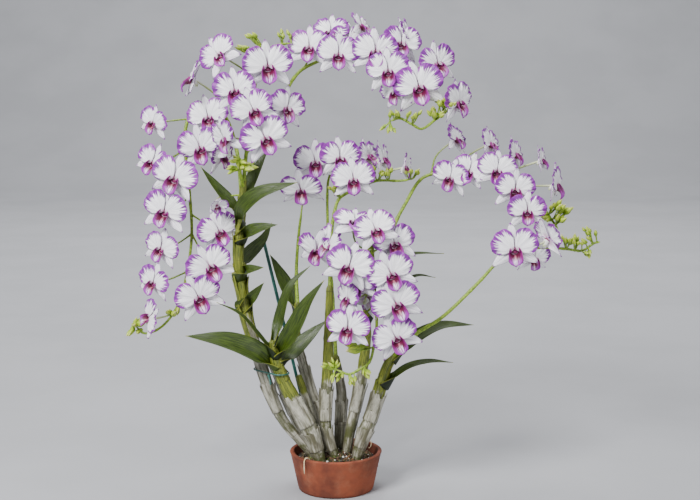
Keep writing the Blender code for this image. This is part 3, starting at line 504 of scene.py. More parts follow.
class Graph:
    """A shader or geometry node tree being wired, with short calls for the nodes used most."""

    def __init__(self, tree: bpy.types.NodeTree) -> None:
        """Keep the tree that nodes are added to."""
        self.tree = tree

    def feed(self, socket: bpy.types.NodeSocket, value: object) -> None:
        """Link value to a socket when it is a socket, or set it as the socket's own value."""
        if isinstance(value, bpy.types.NodeSocket):
            self.tree.links.new(value, socket)
        else:
            socket.default_value = value

    def node(self, kind: str, inputs: dict[int | str, object] | None = None,
             **settings: object) -> bpy.types.Node:
        """Add a node.

        Args:
            kind: The node's type.
            inputs: Values or sockets for its inputs, by name or place.
            settings: Properties to set on the node first.

        Returns:
            The node.
        """
        made = self.tree.nodes.new(kind)
        for key, value in settings.items():
            setattr(made, key, value)
        for key, value in (inputs or {}).items():
            self.feed(made.inputs[key], value)
        return made

    def math(self, operation: str, *values: Value, clamp: bool = False) -> bpy.types.NodeSocket:
        """Add a Math node and return its result."""
        made = self.node("ShaderNodeMath", dict(enumerate(values)), operation=operation, use_clamp=clamp)
        return made.outputs[0]

    def combine(self, x: Value, y: Value, z: Value) -> bpy.types.NodeSocket:
        """Join three numbers into a vector."""
        return self.node("ShaderNodeCombineXYZ", {0: x, 1: y, 2: z}).outputs[0]

    def spread(self, value: Value, low: Value, high: Value, to_low: float = 0.0,
               to_high: float = 1.0) -> bpy.types.NodeSocket:
        """Move a value from the range low..high smoothly to another range, held at its ends."""
        made = self.node("ShaderNodeMapRange", {0: value, 1: low, 2: high, 3: to_low, 4: to_high},
                         interpolation_type="SMOOTHSTEP")
        return made.outputs[0]

    def carried(self, name: str) -> bpy.types.NodeSocket:
        """Read a number that the mesh carries, in a shader."""
        return self.node("ShaderNodeAttribute", attribute_name=name).outputs["Fac"]

    def place(self) -> bpy.types.NodeSocket:
        """Read the object's own coordinates, in a shader."""
        return self.node("ShaderNodeTexCoord").outputs["Object"]

    def mottle(self, vector: bpy.types.NodeSocket, scale: float, detail: float = 3.0,
               roughness: float = 0.55) -> bpy.types.NodeSocket:
        """Add a noise pattern and return its number, about 0.3 to 0.7."""
        made = self.node("ShaderNodeTexNoise", {"Vector": vector, "Scale": scale, "Detail": detail,
                                                "Roughness": roughness})
        return made.outputs[0]

    def blend(self, share: Value, first: object, second: object,
              mode: str = "MIX") -> bpy.types.NodeSocket:
        """Blend two colours and return the result."""
        made = self.node("ShaderNodeMix", data_type="RGBA", blend_type=mode)
        for place, value in ((0, share), (6, first), (7, second)):
            self.feed(made.inputs[place], value)
        return made.outputs[2]

    def relief(self, height: bpy.types.NodeSocket, strength: float, distance: float,
               under: bpy.types.NodeSocket | None = None) -> bpy.types.NodeSocket:
        """Turn a height pattern into a bumped normal, laid over another one if given."""
        inputs = {"Height": height, "Strength": strength, "Distance": distance}
        if under is not None:
            inputs["Normal"] = under
        return self.node("ShaderNodeBump", inputs).outputs[0]


def shade(red: int, green: int, blue: int) -> Colour:
    """Return the linear colour of a screen shade with parts from 0 to 255."""
    parts = [part / 255 for part in (red, green, blue)]
    linear = [part / 12.92 if part <= 0.04045 else ((part + 0.055) / 1.055) ** 2.4 for part in parts]
    return (*linear, 1.0)


@dataclass(frozen=True)
class Finish:
    """A named procedural finish. Each kind of surface wires its own nodes in dress."""

    name: str = "finish"

    def material(self) -> bpy.types.Material:
        """Return the finish's material, made the first time that it is asked for."""
        found = bpy.data.materials.get(self.name)
        if found is not None:
            return found
        made = bpy.data.materials.new(self.name)
        made.use_nodes = True
        self.dress(Graph(made.node_tree), made.node_tree.nodes["Principled BSDF"])
        return made

    def dress(self, graph: Graph, shader: bpy.types.Node) -> None:
        """Wire the finish's nodes into its shader."""
        raise NotImplementedError


@dataclass(frozen=True)
class PetalFinish(Finish):
    """White petal tissue with faint veins, painted shade along the sepals' folds, and a violet margin that runs
    inwards along the veins.
    """

    name: str = "petal"
    white: Colour = shade(250, 249, 252)
    vein: Colour = shade(204, 194, 214)
    violet: Colour = shade(146, 30, 164)
    dark_violet: Colour = shade(104, 12, 128)
    heart: Colour = shade(184, 88, 158)
    # crease: grey-lilac painted shade, laid along the sepals' folds
    crease: Colour = shade(150, 138, 162)
    rim: float = 0.05
    feather: float = 0.36

    def dress(self, graph: Graph, shader: bpy.types.Node) -> None:
        """Wire streaks across the petal into the margin's depth, the veins, the painted shade in the sepals' folds and
        the relief.
        """
        across, reach = graph.carried("across"), graph.carried("reach")
        edging, tint = graph.carried("edging"), graph.carried("tint")
        shift = graph.math("MULTIPLY", tint, 37.0)
        lanes = graph.combine(graph.math("MULTIPLY", across, 5.0), graph.math("MULTIPLY", reach, 0.6), shift)
        streak = graph.spread(graph.mottle(lanes, 1.6, 2.0, 0.6), 0.34, 0.66)
        hair_lanes = graph.combine(graph.math("MULTIPLY", across, 15.0), reach, shift)
        hairs = graph.spread(graph.mottle(hair_lanes, 1.4, 2.0, 0.5), 0.35, 0.65)
        mixed = graph.math("ADD", graph.math("MULTIPLY", streak, 0.45), graph.math("MULTIPLY", hairs, 0.55))
        depth = graph.math("ADD", graph.math("MULTIPLY", mixed, self.feather), self.rim)
        depth = graph.math("MULTIPLY", depth, edging)
        start = graph.math("SUBTRACT", 1.0, depth)
        margin = graph.spread(reach, graph.math("SUBTRACT", start, 0.05), graph.math("ADD", start, 0.06))
        veins = graph.math("MULTIPLY", graph.spread(hairs, 0.5, 1.0), 0.5)
        tissue = graph.blend(veins, self.white, self.vein)
        heart = graph.spread(reach, 0.20, 0.02, 0.0, 0.55)
        tissue = graph.blend(heart, tissue, self.heart)
        # painted shade: greys the tissue along each sepal's fold, where the carried crease is high
        tissue = graph.blend(graph.math("MULTIPLY", graph.carried("crease"), 0.8), tissue, self.crease)
        violet = graph.blend(streak, self.violet, self.dark_violet)
        graph.feed(shader.inputs["Base Color"], graph.blend(margin, tissue, violet))
        graph.feed(shader.inputs["Roughness"], graph.spread(hairs, 0.0, 1.0, 0.42, 0.60))
        crinkle = graph.math("ADD", hairs, graph.math("MULTIPLY", streak, 1.6))
        graph.feed(shader.inputs["Normal"], graph.relief(crinkle, 0.35, 0.0006))
        shader.inputs["Sheen Weight"].default_value = 0.15
        shader.inputs["Sheen Roughness"].default_value = 0.4


@dataclass(frozen=True)
class LipFinish(Finish):
    """A lip with a dark red throat, a paler ridge, and a violet lobe streaked with white."""

    name: str = "lip"
    throat: Colour = shade(92, 12, 52)
    side: Colour = shade(128, 30, 110)
    ridge: Colour = shade(190, 122, 134)
    violet: Colour = shade(158, 44, 172)
    pale: Colour = shade(244, 234, 246)

    def dress(self, graph: Graph, shader: bpy.types.Node) -> None:
        """Wire the throat, its ridge and the lobe's streaks along the lip's length."""
        across, reach = graph.carried("across"), graph.carried("reach")
        shift = graph.math("MULTIPLY", graph.carried("tint"), 29.0)
        lanes = graph.combine(graph.math("MULTIPLY", across, 4.5), graph.math("MULTIPLY", reach, 1.2), shift)
        streak = graph.mottle(lanes, 2.0, 2.0)
        middle = graph.math("ABSOLUTE", across)
        ridge = graph.math("MULTIPLY", graph.spread(middle, 0.16, 0.04), graph.spread(reach, 0.20, 0.50))
        inside = graph.blend(graph.spread(graph.math("ADD", middle, graph.math("MULTIPLY", streak, 0.5)),
                                          0.72, 1.15), self.throat, self.side)
        inside = graph.blend(graph.math("MULTIPLY", ridge, 0.8), inside, self.ridge)
        white = graph.math("MULTIPLY", graph.spread(middle, 0.62, 0.12), graph.spread(streak, 0.42, 0.54))
        white = graph.math("MULTIPLY", white, graph.spread(reach, 0.98, 0.84))
        lobe = graph.blend(white, self.violet, self.pale)
        past = graph.math("ADD", reach, graph.math("MULTIPLY", graph.math("SUBTRACT", streak, 0.5), 0.5))
        colour = graph.blend(graph.spread(past, 0.52, 0.74), inside, lobe)
        graph.feed(shader.inputs["Base Color"], colour)
        graph.feed(shader.inputs["Roughness"], graph.spread(streak, 0.3, 0.7, 0.35, 0.55))
        graph.feed(shader.inputs["Normal"], graph.relief(streak, 0.5, 0.0008))


@dataclass(frozen=True)
class ColumnFinish(Finish):
    """The column and spur: the column's own pink and lilac blush darkened as painted shade of the deep throat, the
    spur waxy white with a green base.
    """

    name: str = "column"
    # pink and blush: the column's own colour, darkened as painted shade of the throat it sits in
    pink: Colour = shade(138, 44, 98)
    blush: Colour = shade(92, 14, 62)
    white: Colour = shade(236, 234, 230)
    green: Colour = shade(178, 192, 116)

    def dress(self, graph: Graph, shader: bpy.types.Node) -> None:
        """Wire the column's pink and blush, darkened as painted shade, as soft blotches, and green towards the spur's
        tip.
        """
        place, reach = graph.place(), graph.carried("reach")
        blotch = graph.mottle(place, 260.0)
        # waxy: the column's painted shade, dark pink blotched with deeper blush
        waxy = graph.blend(graph.spread(blotch, 0.36, 0.60), self.pink, self.blush)
        chin = graph.blend(graph.spread(reach, 0.6, 1.0, 0.0, 0.8), self.white, self.green)
        graph.feed(shader.inputs["Base Color"], graph.blend(graph.spread(reach, 0.38, 0.44), waxy, chin))
        graph.feed(shader.inputs["Roughness"], graph.spread(blotch, 0.3, 0.7, 0.3, 0.5))
        graph.feed(shader.inputs["Normal"], graph.relief(graph.mottle(place, 900.0), 0.25, 0.0004))


@dataclass(frozen=True)
class StalkFinish(Finish):
    """Green flower stem that pales to lilac-white where a flower's stalk ends."""

    name: str = "stalk"
    stem: Colour = shade(96, 120, 28)
    lime: Colour = shade(142, 170, 40)
    pale: Colour = shade(216, 214, 190)

    def dress(self, graph: Graph, shader: bpy.types.Node) -> None:
        """Wire fibres, and the change along each stalk carried as paleness."""
        place, paleness = graph.place(), graph.carried("paleness")
        speck = graph.mottle(place, 420.0)
        green = graph.blend(graph.spread(speck, 0.35, 0.65), self.stem, self.lime)
        colour = graph.blend(graph.spread(paleness, 0.35, 1.0), green, self.pale)
        graph.feed(shader.inputs["Base Color"], colour)
        graph.feed(shader.inputs["Roughness"], graph.spread(speck, 0.3, 0.7, 0.38, 0.6))
        graph.feed(shader.inputs["Normal"], graph.relief(graph.mottle(place, 1400.0), 0.3, 0.0004))


@dataclass(frozen=True)
class BudFinish(Finish):
    """Closed bud: yellow-green with darker seams and a lilac blush at its tip."""

    name: str = "bud"
    green: Colour = shade(128, 160, 22)
    pale: Colour = shade(172, 190, 58)
    seam: Colour = shade(92, 110, 24)
    blush: Colour = shade(190, 160, 160)

    def dress(self, graph: Graph, shader: bpy.types.Node) -> None:
        """Wire the seams, carried as seam, and the paling towards the tip, carried as reach."""
        reach, seam = graph.carried("reach"), graph.carried("seam")
        speck = graph.mottle(graph.place(), 500.0)
        body = graph.blend(graph.spread(graph.math("ADD", reach, graph.math("SUBTRACT", speck, 0.5)),
                                        0.1, 0.8), self.green, self.pale)
        tipped = graph.blend(graph.spread(reach, 0.75, 1.0, 0.0, 0.6), body, self.blush)
        colour = graph.blend(graph.math("MULTIPLY", seam, 0.8), tipped, self.seam)
        graph.feed(shader.inputs["Base Color"], colour)
        graph.feed(shader.inputs["Roughness"], graph.spread(speck, 0.3, 0.7, 0.35, 0.55))
        graph.feed(shader.inputs["Normal"], graph.relief(speck, 0.25, 0.0004))


@dataclass(frozen=True)
class CaneFinish(Finish):
    """Cane in dry silvery sheaths with lengthwise fibres and dark nodes, green where it is still young."""

    name: str = "cane_sheath"
    silver: Colour = shade(182, 179, 164)
    grey: Colour = shade(92, 88, 68)
    fibre: Colour = shade(50, 44, 28)
    green: Colour = shade(56, 70, 10)
    yellow: Colour = shade(122, 128, 34)
    moss: Colour = shade(70, 74, 34)
    node: Colour = shade(58, 50, 32)

    def dress(self, graph: Graph, shader: bpy.types.Node) -> None:
        """Wire fibres along the cane, blotches, the green top, the mossy foot and the nodes."""
        around = graph.math("MULTIPLY", graph.carried("around"), math.tau)
        along, youth = graph.carried("along"), graph.carried("youth")
        phase, grime = graph.carried("phase"), graph.carried("grime")
        ring_x = graph.math("MULTIPLY", graph.math("COSINE", around), 1.0)
        ring_y = graph.math("MULTIPLY", graph.math("SINE", around), 1.0)
        lanes = graph.combine(ring_x, ring_y, graph.math("MULTIPLY", along, 9.0))
        fibres = graph.mottle(lanes, 7.0, 4.0, 0.65)
        broad_lanes = graph.combine(ring_x, ring_y, graph.math("MULTIPLY", along, 14.0))
        broad = graph.mottle(broad_lanes, 1.7, 3.0)
        blotch = graph.mottle(graph.place(), 70.0, 4.0, 0.6)
        papery = graph.blend(graph.spread(broad, 0.36, 0.62), self.silver, self.grey)
        papery = graph.blend(graph.spread(fibres, 0.52, 0.66, 0.0, 0.85), papery, self.fibre)
        mossy = graph.math("MULTIPLY", graph.spread(grime, 0.0, 0.8), graph.spread(blotch, 0.40, 0.58))
        papery = graph.blend(mossy, papery, self.moss)
        fresh = graph.blend(graph.spread(fibres, 0.38, 0.62), self.green, self.yellow)
        edge = graph.math("ADD", youth, graph.math("MULTIPLY", graph.math("SUBTRACT", broad, 0.5), 0.35))
        colour = graph.blend(graph.spread(edge, 0.45, 0.60), papery, fresh)
        ring = graph.math("MULTIPLY", graph.spread(graph.math("ABSOLUTE", graph.math("SUBTRACT", phase, 0.5)),
                                                   0.455, 0.49),
                          graph.spread(broad, 0.30, 0.60, 0.35, 1.0))
        graph.feed(shader.inputs["Base Color"], graph.blend(graph.math("MULTIPLY", ring, 0.85),
                                                            colour, self.node))
        graph.feed(shader.inputs["Roughness"], graph.spread(fibres, 0.3, 0.7, 0.38, 0.68))
        folds = graph.relief(broad, 0.5, 0.0022)
        graph.feed(shader.inputs["Normal"], graph.relief(fibres, 0.6, 0.0009, folds))


@dataclass(frozen=True)
class LeafFinish(Finish):
    """Dark glossy strap leaf with long veins, a pale midrib and a thin yellow-green edge."""

    name: str = "leaf_blade"
    deep: Colour = shade(8, 18, 1)
    lit: Colour = shade(26, 40, 4)
    rib: Colour = shade(70, 88, 16)
    edge: Colour = shade(134, 138, 38)
    under: Colour = shade(62, 80, 18)

    def dress(self, graph: Graph, shader: bpy.types.Node) -> None:
        """Wire veins along the leaf, its midrib, edge, paler underside and dry tip."""
        across, reach, shift = graph.carried("across"), graph.carried("reach"), graph.carried("tint")
        lanes = graph.combine(graph.math("MULTIPLY", across, 9.0), graph.math("MULTIPLY", reach, 3.0),
                              graph.math("MULTIPLY", shift, 19.0))
        veins = graph.mottle(lanes, 2.4, 3.0)
        cloud = graph.mottle(graph.place(), 38.0)
        blade = graph.blend(graph.spread(graph.math("ADD", veins, cloud), 0.85, 1.15), self.deep, self.lit)
        paler = graph.spread(graph.math("MULTIPLY", shift, 1.0), 0.55, 1.0, 0.0, 0.55)
        blade = graph.blend(paler, blade, self.rib)
        middle = graph.math("ABSOLUTE", across)
        blade = graph.blend(graph.spread(middle, 0.09, 0.02, 0.0, 0.75), blade, self.rib)
        blade = graph.blend(graph.spread(middle, 0.90, 0.99, 0.0, 0.8), blade, self.edge)
        blade = graph.blend(graph.carried("underside"), blade,
                            graph.blend(graph.spread(veins, 0.4, 0.6), self.under, self.lit))
        tip = graph.spread(graph.math("ADD", reach, graph.math("MULTIPLY", cloud, 0.06)), 0.985, 1.03)
        graph.feed(shader.inputs["Base Color"], graph.blend(tip, blade, self.edge))
        graph.feed(shader.inputs["Roughness"], graph.spread(cloud, 0.3, 0.7, 0.34, 0.50))
        graph.feed(shader.inputs["Normal"], graph.relief(veins, 0.4, 0.0008))
        shader.inputs["Specular IOR Level"].default_value = 0.38


@dataclass(frozen=True)
class ClayFinish(Finish):
    """Fired clay with sandy grain, throwing marks, a pale mineral bloom and damp patches."""

    name: str = "fired_clay"
    clay: Colour = shade(136, 66, 38)
    dark: Colour = shade(96, 44, 26)
    bloom: Colour = shade(150, 104, 80)

    def dress(self, graph: Graph, shader: bpy.types.Node) -> None:
        """Wire cloudy firing marks, grain, bloom in patches and fine turned lines."""
        place = graph.place()
        cloud = graph.mottle(place, 24.0, 5.0, 0.6)
        grain = graph.mottle(place, 1500.0, 3.0, 0.6)
        patch = graph.mottle(place, 42.0, 4.0, 0.65)
        height = graph.node("ShaderNodeSeparateXYZ", {0: place}).outputs[2]
        lines = graph.math("SINE", graph.math("ADD", graph.math("MULTIPLY", height, 4200.0),
                                              graph.math("MULTIPLY", cloud, 14.0)))
        body = graph.blend(graph.spread(cloud, 0.36, 0.64), self.dark, self.clay)
        body = graph.blend(graph.spread(patch, 0.48, 0.78, 0.0, 0.45), body, self.bloom)
        body = graph.blend(graph.spread(grain, 0.60, 0.72, 0.0, 0.5), body, self.dark)
        graph.feed(shader.inputs["Base Color"], body)
        graph.feed(shader.inputs["Roughness"], graph.spread(patch, 0.3, 0.7, 0.72, 0.92))
        turned = graph.relief(lines, 0.18, 0.0004)
        graph.feed(shader.inputs["Normal"], graph.relief(grain, 0.45, 0.0005, turned))


@dataclass(frozen=True)
class CrumbFinish(Finish):
    """A crumbly bit of the potting mix: bark, perlite or moss, in two mottled shades."""

    dark: Colour = shade(34, 26, 18)
    light: Colour = shade(84, 66, 44)
    grain: float = 700.0

    def dress(self, graph: Graph, shader: bpy.types.Node) -> None:
        """Wire the two shades, roughness and a coarse relief."""
        place = graph.place()
        cloud = graph.mottle(place, 0.35 * self.grain, 4.0, 0.6)
        fine = graph.mottle(place, 2.0 * self.grain, 3.0)
        graph.feed(shader.inputs["Base Color"], graph.blend(graph.spread(cloud, 0.38, 0.64),
                                                            self.dark, self.light))
        graph.feed(shader.inputs["Roughness"], graph.spread(fine, 0.3, 0.7, 0.7, 0.95))
        graph.feed(shader.inputs["Normal"], graph.relief(fine, 0.8, 0.001))


@dataclass(frozen=True)
class CoatedFinish(Finish):
    """Green plastic coating, dusty in patches."""

    name: str = "coated_wire"
    green: Colour = shade(12, 74, 66)
    dusty: Colour = shade(58, 112, 100)

    def dress(self, graph: Graph, shader: bpy.types.Node) -> None:
        """Wire dust, scuffs and a moulded grain."""
        place = graph.place()
        dust = graph.mottle(place, 160.0, 4.0, 0.6)
        graph.feed(shader.inputs["Base Color"], graph.blend(graph.spread(dust, 0.44, 0.70, 0.0, 0.8),
                                                            self.green, self.dusty))
        graph.feed(shader.inputs["Roughness"], graph.spread(dust, 0.3, 0.7, 0.34, 0.62))
        graph.feed(shader.inputs["Normal"], graph.relief(graph.mottle(place, 1800.0), 0.25, 0.0003))


@dataclass(frozen=True)
class DryRootFinish(Finish):
    """Dry corky root skin in straw and cream, with cross cracks."""

    name: str = "root_skin"
    straw: Colour = shade(196, 170, 124)
    cream: Colour = shade(228, 214, 180)
    crack: Colour = shade(120, 92, 58)

    def dress(self, graph: Graph, shader: bpy.types.Node) -> None:
        """Wire the cork's two shades and dark cracks."""
        place = graph.place()
        cloud = graph.mottle(place, 220.0, 4.0)
        crack = graph.mottle(place, 1100.0, 4.0, 0.7)
        cork = graph.blend(graph.spread(cloud, 0.38, 0.62), self.straw, self.cream)
        graph.feed(shader.inputs["Base Color"], graph.blend(graph.spread(crack, 0.56, 0.66, 0.0, 0.8),
                                                            cork, self.crack))
        graph.feed(shader.inputs["Roughness"], graph.spread(crack, 0.3, 0.7, 0.7, 0.9))
        graph.feed(shader.inputs["Normal"], graph.relief(crack, 0.6, 0.0006))


@dataclass(frozen=True)
class StudioFinish(Finish):
    """Pale matt studio paper."""

    name: str = "studio_paper"
    paper: Colour = shade(166, 167, 171)
    fleck: Colour = shade(161, 162, 166)

    def dress(self, graph: Graph, shader: bpy.types.Node) -> None:
        """Wire the paper's faint flecks."""
        cloud = graph.mottle(graph.place(), 3.0)
        graph.feed(shader.inputs["Base Color"], graph.blend(graph.spread(cloud, 0.35, 0.65),
                                                            self.paper, self.fleck))
        graph.feed(shader.inputs["Roughness"], graph.spread(cloud, 0.3, 0.7, 0.85, 0.95))


PETAL, LIP, COLUMN = PetalFinish(), LipFinish(), ColumnFinish()
STALK, BUD = StalkFinish(), BudFinish()
CANE, LEAF = CaneFinish(), LeafFinish()
CLAY = ClayFinish()
SOIL = CrumbFinish("soil", shade(22, 18, 13), shade(52, 44, 30))
BARK = CrumbFinish("bark", shade(40, 28, 18), shade(104, 76, 48), 500.0)
PERLITE = CrumbFinish("perlite", shade(186, 184, 174), shade(238, 238, 232), 900.0)
MOSS = CrumbFinish("moss", shade(44, 56, 20), shade(112, 128, 56), 1200.0)
COATED, DRY_ROOT = CoatedFinish(), DryRootFinish()


# ------------------------------------------------------------------ geometry node trees


@dataclass
class GrowthTree:
    """A geometry node tree with named inputs, run once on each mesh given to it."""

    name: str
    inputs: dict[str, tuple[str, object]]

    def __post_init__(self) -> None:
        """Make the tree and its sockets, and let the kind of tree wire its nodes."""
        self.tree = bpy.data.node_groups.new(self.name, "GeometryNodeTree")
        self.tree.is_modifier = True
        face = self.tree.interface
        face.new_socket("Geometry", in_out="OUTPUT", socket_type="NodeSocketGeometry")
        face.new_socket("Geometry", in_out="INPUT", socket_type="NodeSocketGeometry")
        self.sockets = {}
        for key, (kind, default) in self.inputs.items():
            socket = face.new_socket(key, in_out="INPUT", socket_type=f"NodeSocket{kind}")
            if default is not None:
                socket.default_value = default
            self.sockets[key] = socket.identifier
        graph = Graph(self.tree)
        given = graph.node("NodeGroupInput").outputs
        result = self.wire(graph, given)
        graph.node("NodeGroupOutput", {0: result})

    def wire(self, graph: Graph, given: bpy.types.NodeOutputs) -> bpy.types.NodeSocket:
        """Wire the tree from its inputs, and return the geometry that it makes."""
        raise NotImplementedError

    def grow(self, name: str, mesh: bpy.types.Mesh, **values: object) -> bpy.types.Object:
        """Run the tree on a mesh.

        Args:
            name: The new piece's name.
            mesh: What the tree works from.
            values: Inputs by name, with spaces as underscores.

        Returns:
            A plain mesh object at the origin.
        """
        source = linked(f"{name}_source", mesh)
        modifier = source.modifiers.new("Growth", "NODES")
        modifier.node_group = self.tree
        for key, value in values.items():
            modifier[self.sockets[key.replace("_", " ")]] = value
        return evaluated_copy(name, source)


def number(graph: Graph, name: str) -> bpy.types.NodeSocket:
    """Read a number that the geometry carries, in a geometry node tree."""
    return graph.node("GeometryNodeInputNamedAttribute", {"Name": name}, data_type="FLOAT").outputs[0]


def store(graph: Graph, geometry: bpy.types.NodeSocket, name: str, value: Value) -> bpy.types.NodeSocket:
    """Store a number on every point of a geometry, and return the geometry."""
    made = graph.node("GeometryNodeStoreNamedAttribute", {"Geometry": geometry, "Name": name},
                      data_type="FLOAT", domain="POINT")
    graph.feed(made.inputs["Value"], value)
    return made.outputs[0]


def ended(graph: Graph, geometry: bpy.types.NodeSocket, finish: Value) -> bpy.types.NodeSocket:
    """Realize instances, shade smooth and set the material, as every tree ends."""
    real = graph.node("GeometryNodeRealizeInstances", {0: geometry}).outputs[0]
    smooth = graph.node("GeometryNodeSetShadeSmooth", {"Geometry": real}).outputs[0]
    return graph.node("GeometryNodeSetMaterial", {"Geometry": smooth, "Material": finish}).outputs[0]


class SweepTree(GrowthTree):
    """Sweeps a ring along each line of a mesh, with swollen nodes, stepped sheaths and flutes."""

    def __init__(self) -> None:
        """Name the tree's inputs."""
        super().__init__("Swept growth", {
            "Sides": ("Int", 12), "Node Spacing": ("Float", 0.03), "Node Height": ("Float", 0.0),
            "Sheath Step": ("Float", 0.0), "Flutes": ("Int", 5), "Flute Depth": ("Float", 0.0),
            "Unevenness": ("Float", 0.0), "Grain": ("Float", 60.0), "Finish": ("Material", None)})

    def wire(self, graph: Graph, given: bpy.types.NodeOutputs) -> bpy.types.NodeSocket:
        """Scale the ring by the radius carried at each point, then press flutes and dents into it."""
        line = graph.node("GeometryNodeMeshToCurve", {0: given["Geometry"]}).outputs[0]
        along = number(graph, "along")
        phase = graph.math("FRACT", graph.math("DIVIDE", along, given["Node Spacing"]))
        off_node = graph.math("SUBTRACT", 0.5, graph.math("ABSOLUTE", graph.math("SUBTRACT", phase, 0.5)))
        swell = graph.math("MULTIPLY", graph.spread(off_node, 0.09, 0.0), given["Node Height"])
        step = graph.math("MULTIPLY", graph.math("SUBTRACT", 1.0, phase), given["Sheath Step"])
        growth = graph.math("ADD", 1.0, graph.math("ADD", swell, step))
        scale = graph.math("MULTIPLY", number(graph, "radius"), growth)
        line = store(graph, line, "phase", phase)
        ring = graph.node("GeometryNodeCurvePrimitiveCircle",
                          {"Resolution": given["Sides"], "Radius": 1.0}).outputs[0]
        ring = store(graph, ring, "around", graph.node("GeometryNodeSplineParameter").outputs["Factor"])
        tube = graph.node("GeometryNodeCurveToMesh", {"Curve": line, "Profile Curve": ring, "Scale": scale,
                                                      "Fill Caps": True}).outputs[0]
        wave = graph.math("MULTIPLY", number(graph, "around"),
                          graph.math("MULTIPLY", given["Flutes"], math.tau))
        wave = graph.math("COSINE", graph.math("ADD", wave, graph.math("MULTIPLY", along, 40.0)))
        flute = graph.math("MULTIPLY", graph.math("MULTIPLY", wave, given["Flute Depth"]),
                           number(graph, "radius"))
        dents = graph.node("ShaderNodeTexNoise", {"Scale": given["Grain"], "Detail": 2.0}).outputs[0]
        dents = graph.math("MULTIPLY", graph.math("SUBTRACT", dents, 0.5), given["Unevenness"])
        push = graph.math("ADD", flute, dents)
        normal = graph.node("GeometryNodeInputNormal").outputs[0]
        offset = graph.node("ShaderNodeVectorMath", {0: normal, "Scale": push}, operation="SCALE").outputs[0]
        moved = graph.node("GeometryNodeSetPosition", {"Geometry": tube, "Offset": offset}).outputs[0]
        return ended(graph, moved, given["Finish"])


class BudTree(GrowthTree):
    """Sets a bud on each point of a mesh, turned and sized as the point says."""

    def __init__(self) -> None:
        """Name the tree's inputs."""
        super().__init__("Buds on stalks", {"Bud": ("Object", None), "Finish": ("Material", None)})

    def wire(self, graph: Graph, given: bpy.types.NodeOutputs) -> bpy.types.NodeSocket:
        """Place the bud on every point with the turn and size that the point carries."""
        bud = graph.node("GeometryNodeObjectInfo", {"Object": given["Bud"]}).outputs["Geometry"]
        turn = graph.node("GeometryNodeInputNamedAttribute", {"Name": "turn"},
                          data_type="FLOAT_VECTOR").outputs[0]
        turn = graph.node("FunctionNodeEulerToRotation", {0: turn}).outputs[0]
        set_out = graph.node("GeometryNodeInstanceOnPoints",
                             {"Points": given["Geometry"], "Instance": bud, "Rotation": turn,
                              "Scale": number(graph, "size")}).outputs[0]
        return ended(graph, set_out, given["Finish"])


class ScatterTree(GrowthTree):
    """Scatters turned and sized bits of a form over a surface."""

    def __init__(self) -> None:
        """Name the tree's inputs."""
        super().__init__("Scattered bits", {
            "Bit": ("Object", None), "Density": ("Float", 1000.0), "Smallest": ("Float", 0.5),
            "Largest": ("Float", 1.0), "Sink": ("Float", 0.0), "Tilt": ("Float", 3.0),
            "Seed": ("Int", 1), "Finish": ("Material", None)})

    def wire(self, graph: Graph, given: bpy.types.NodeOutputs) -> bpy.types.NodeSocket:
        """Scatter points by density and seed, then put a bit on each at a random turn and size."""
        spots = graph.node("GeometryNodeDistributePointsOnFaces",
                           {"Mesh": given["Geometry"], "Density": given["Density"],
                            "Seed": given["Seed"]}).outputs[0]
        bit = graph.node("GeometryNodeObjectInfo", {"Object": given["Bit"]}).outputs["Geometry"]
        tilt = graph.combine(given["Tilt"], given["Tilt"], math.tau)
        back = graph.node("ShaderNodeVectorMath", {0: tilt, 1: (-1.0, -1.0, 0.0)},
                          operation="MULTIPLY").outputs[0]
        turn = graph.node("FunctionNodeRandomValue", {0: back, 1: tilt, "Seed": given["Seed"]},
                          data_type="FLOAT_VECTOR").outputs[0]
        turn = graph.node("FunctionNodeEulerToRotation", {0: turn}).outputs[0]
        size = graph.node("FunctionNodeRandomValue",
                          {2: given["Smallest"], 3: given["Largest"], "Seed": given["Seed"]},
                          data_type="FLOAT")
        set_out = graph.node("GeometryNodeInstanceOnPoints",
                             {"Points": spots, "Instance": bit, "Rotation": turn,
                              "Scale": size.outputs[1]}).outputs[0]
        drop = graph.combine(0.0, 0.0, graph.math("MULTIPLY", given["Sink"], -1.0))
        sunk = graph.node("GeometryNodeSetPosition", {"Geometry": set_out, "Offset": drop}).outputs[0]
        return ended(graph, sunk, given["Finish"])


@dataclass
class Line:
    """A line to sweep along: its points, a radius at each, and other numbers that the points carry."""

    route: list[Vector]
    radii: np.ndarray
    carried: dict[str, np.ndarray | float] = field(default_factory=dict)


def line_mesh(name: str, lines: list[Line]) -> bpy.types.Mesh:
    """Make a mesh of edges along lines, carrying radius, along and each line's own numbers.

    Args:
        name: The mesh's name.
        lines: The lines.

    Returns:
        The mesh, which has no faces.
    """
    points, edges = [], []
    carried: dict[str, list[float]] = {"radius": [], "along": []}
    for key in {key for line in lines for key in line.carried}:
        carried[key] = []
    for line in lines:
        first, count = len(points), len(line.route)
        points += [tuple(point) for point in line.route]
        edges += [(first + i, first + i + 1) for i in range(count - 1)]
        numbers = {"radius": line.radii, "along": lengths_along(line.route), **line.carried}
        for key, held in carried.items():
            held += np.broadcast_to(np.asarray(numbers.get(key, 0.0), float), (count,)).tolist()
    mesh = bpy.data.meshes.new(name)
    mesh.from_pydata(points, edges, [])
    for key, held in carried.items():
        mesh.attributes.new(key, "FLOAT", "POINT").data.foreach_set("value", held)
    return mesh


# ------------------------------------------------------------------ the plant


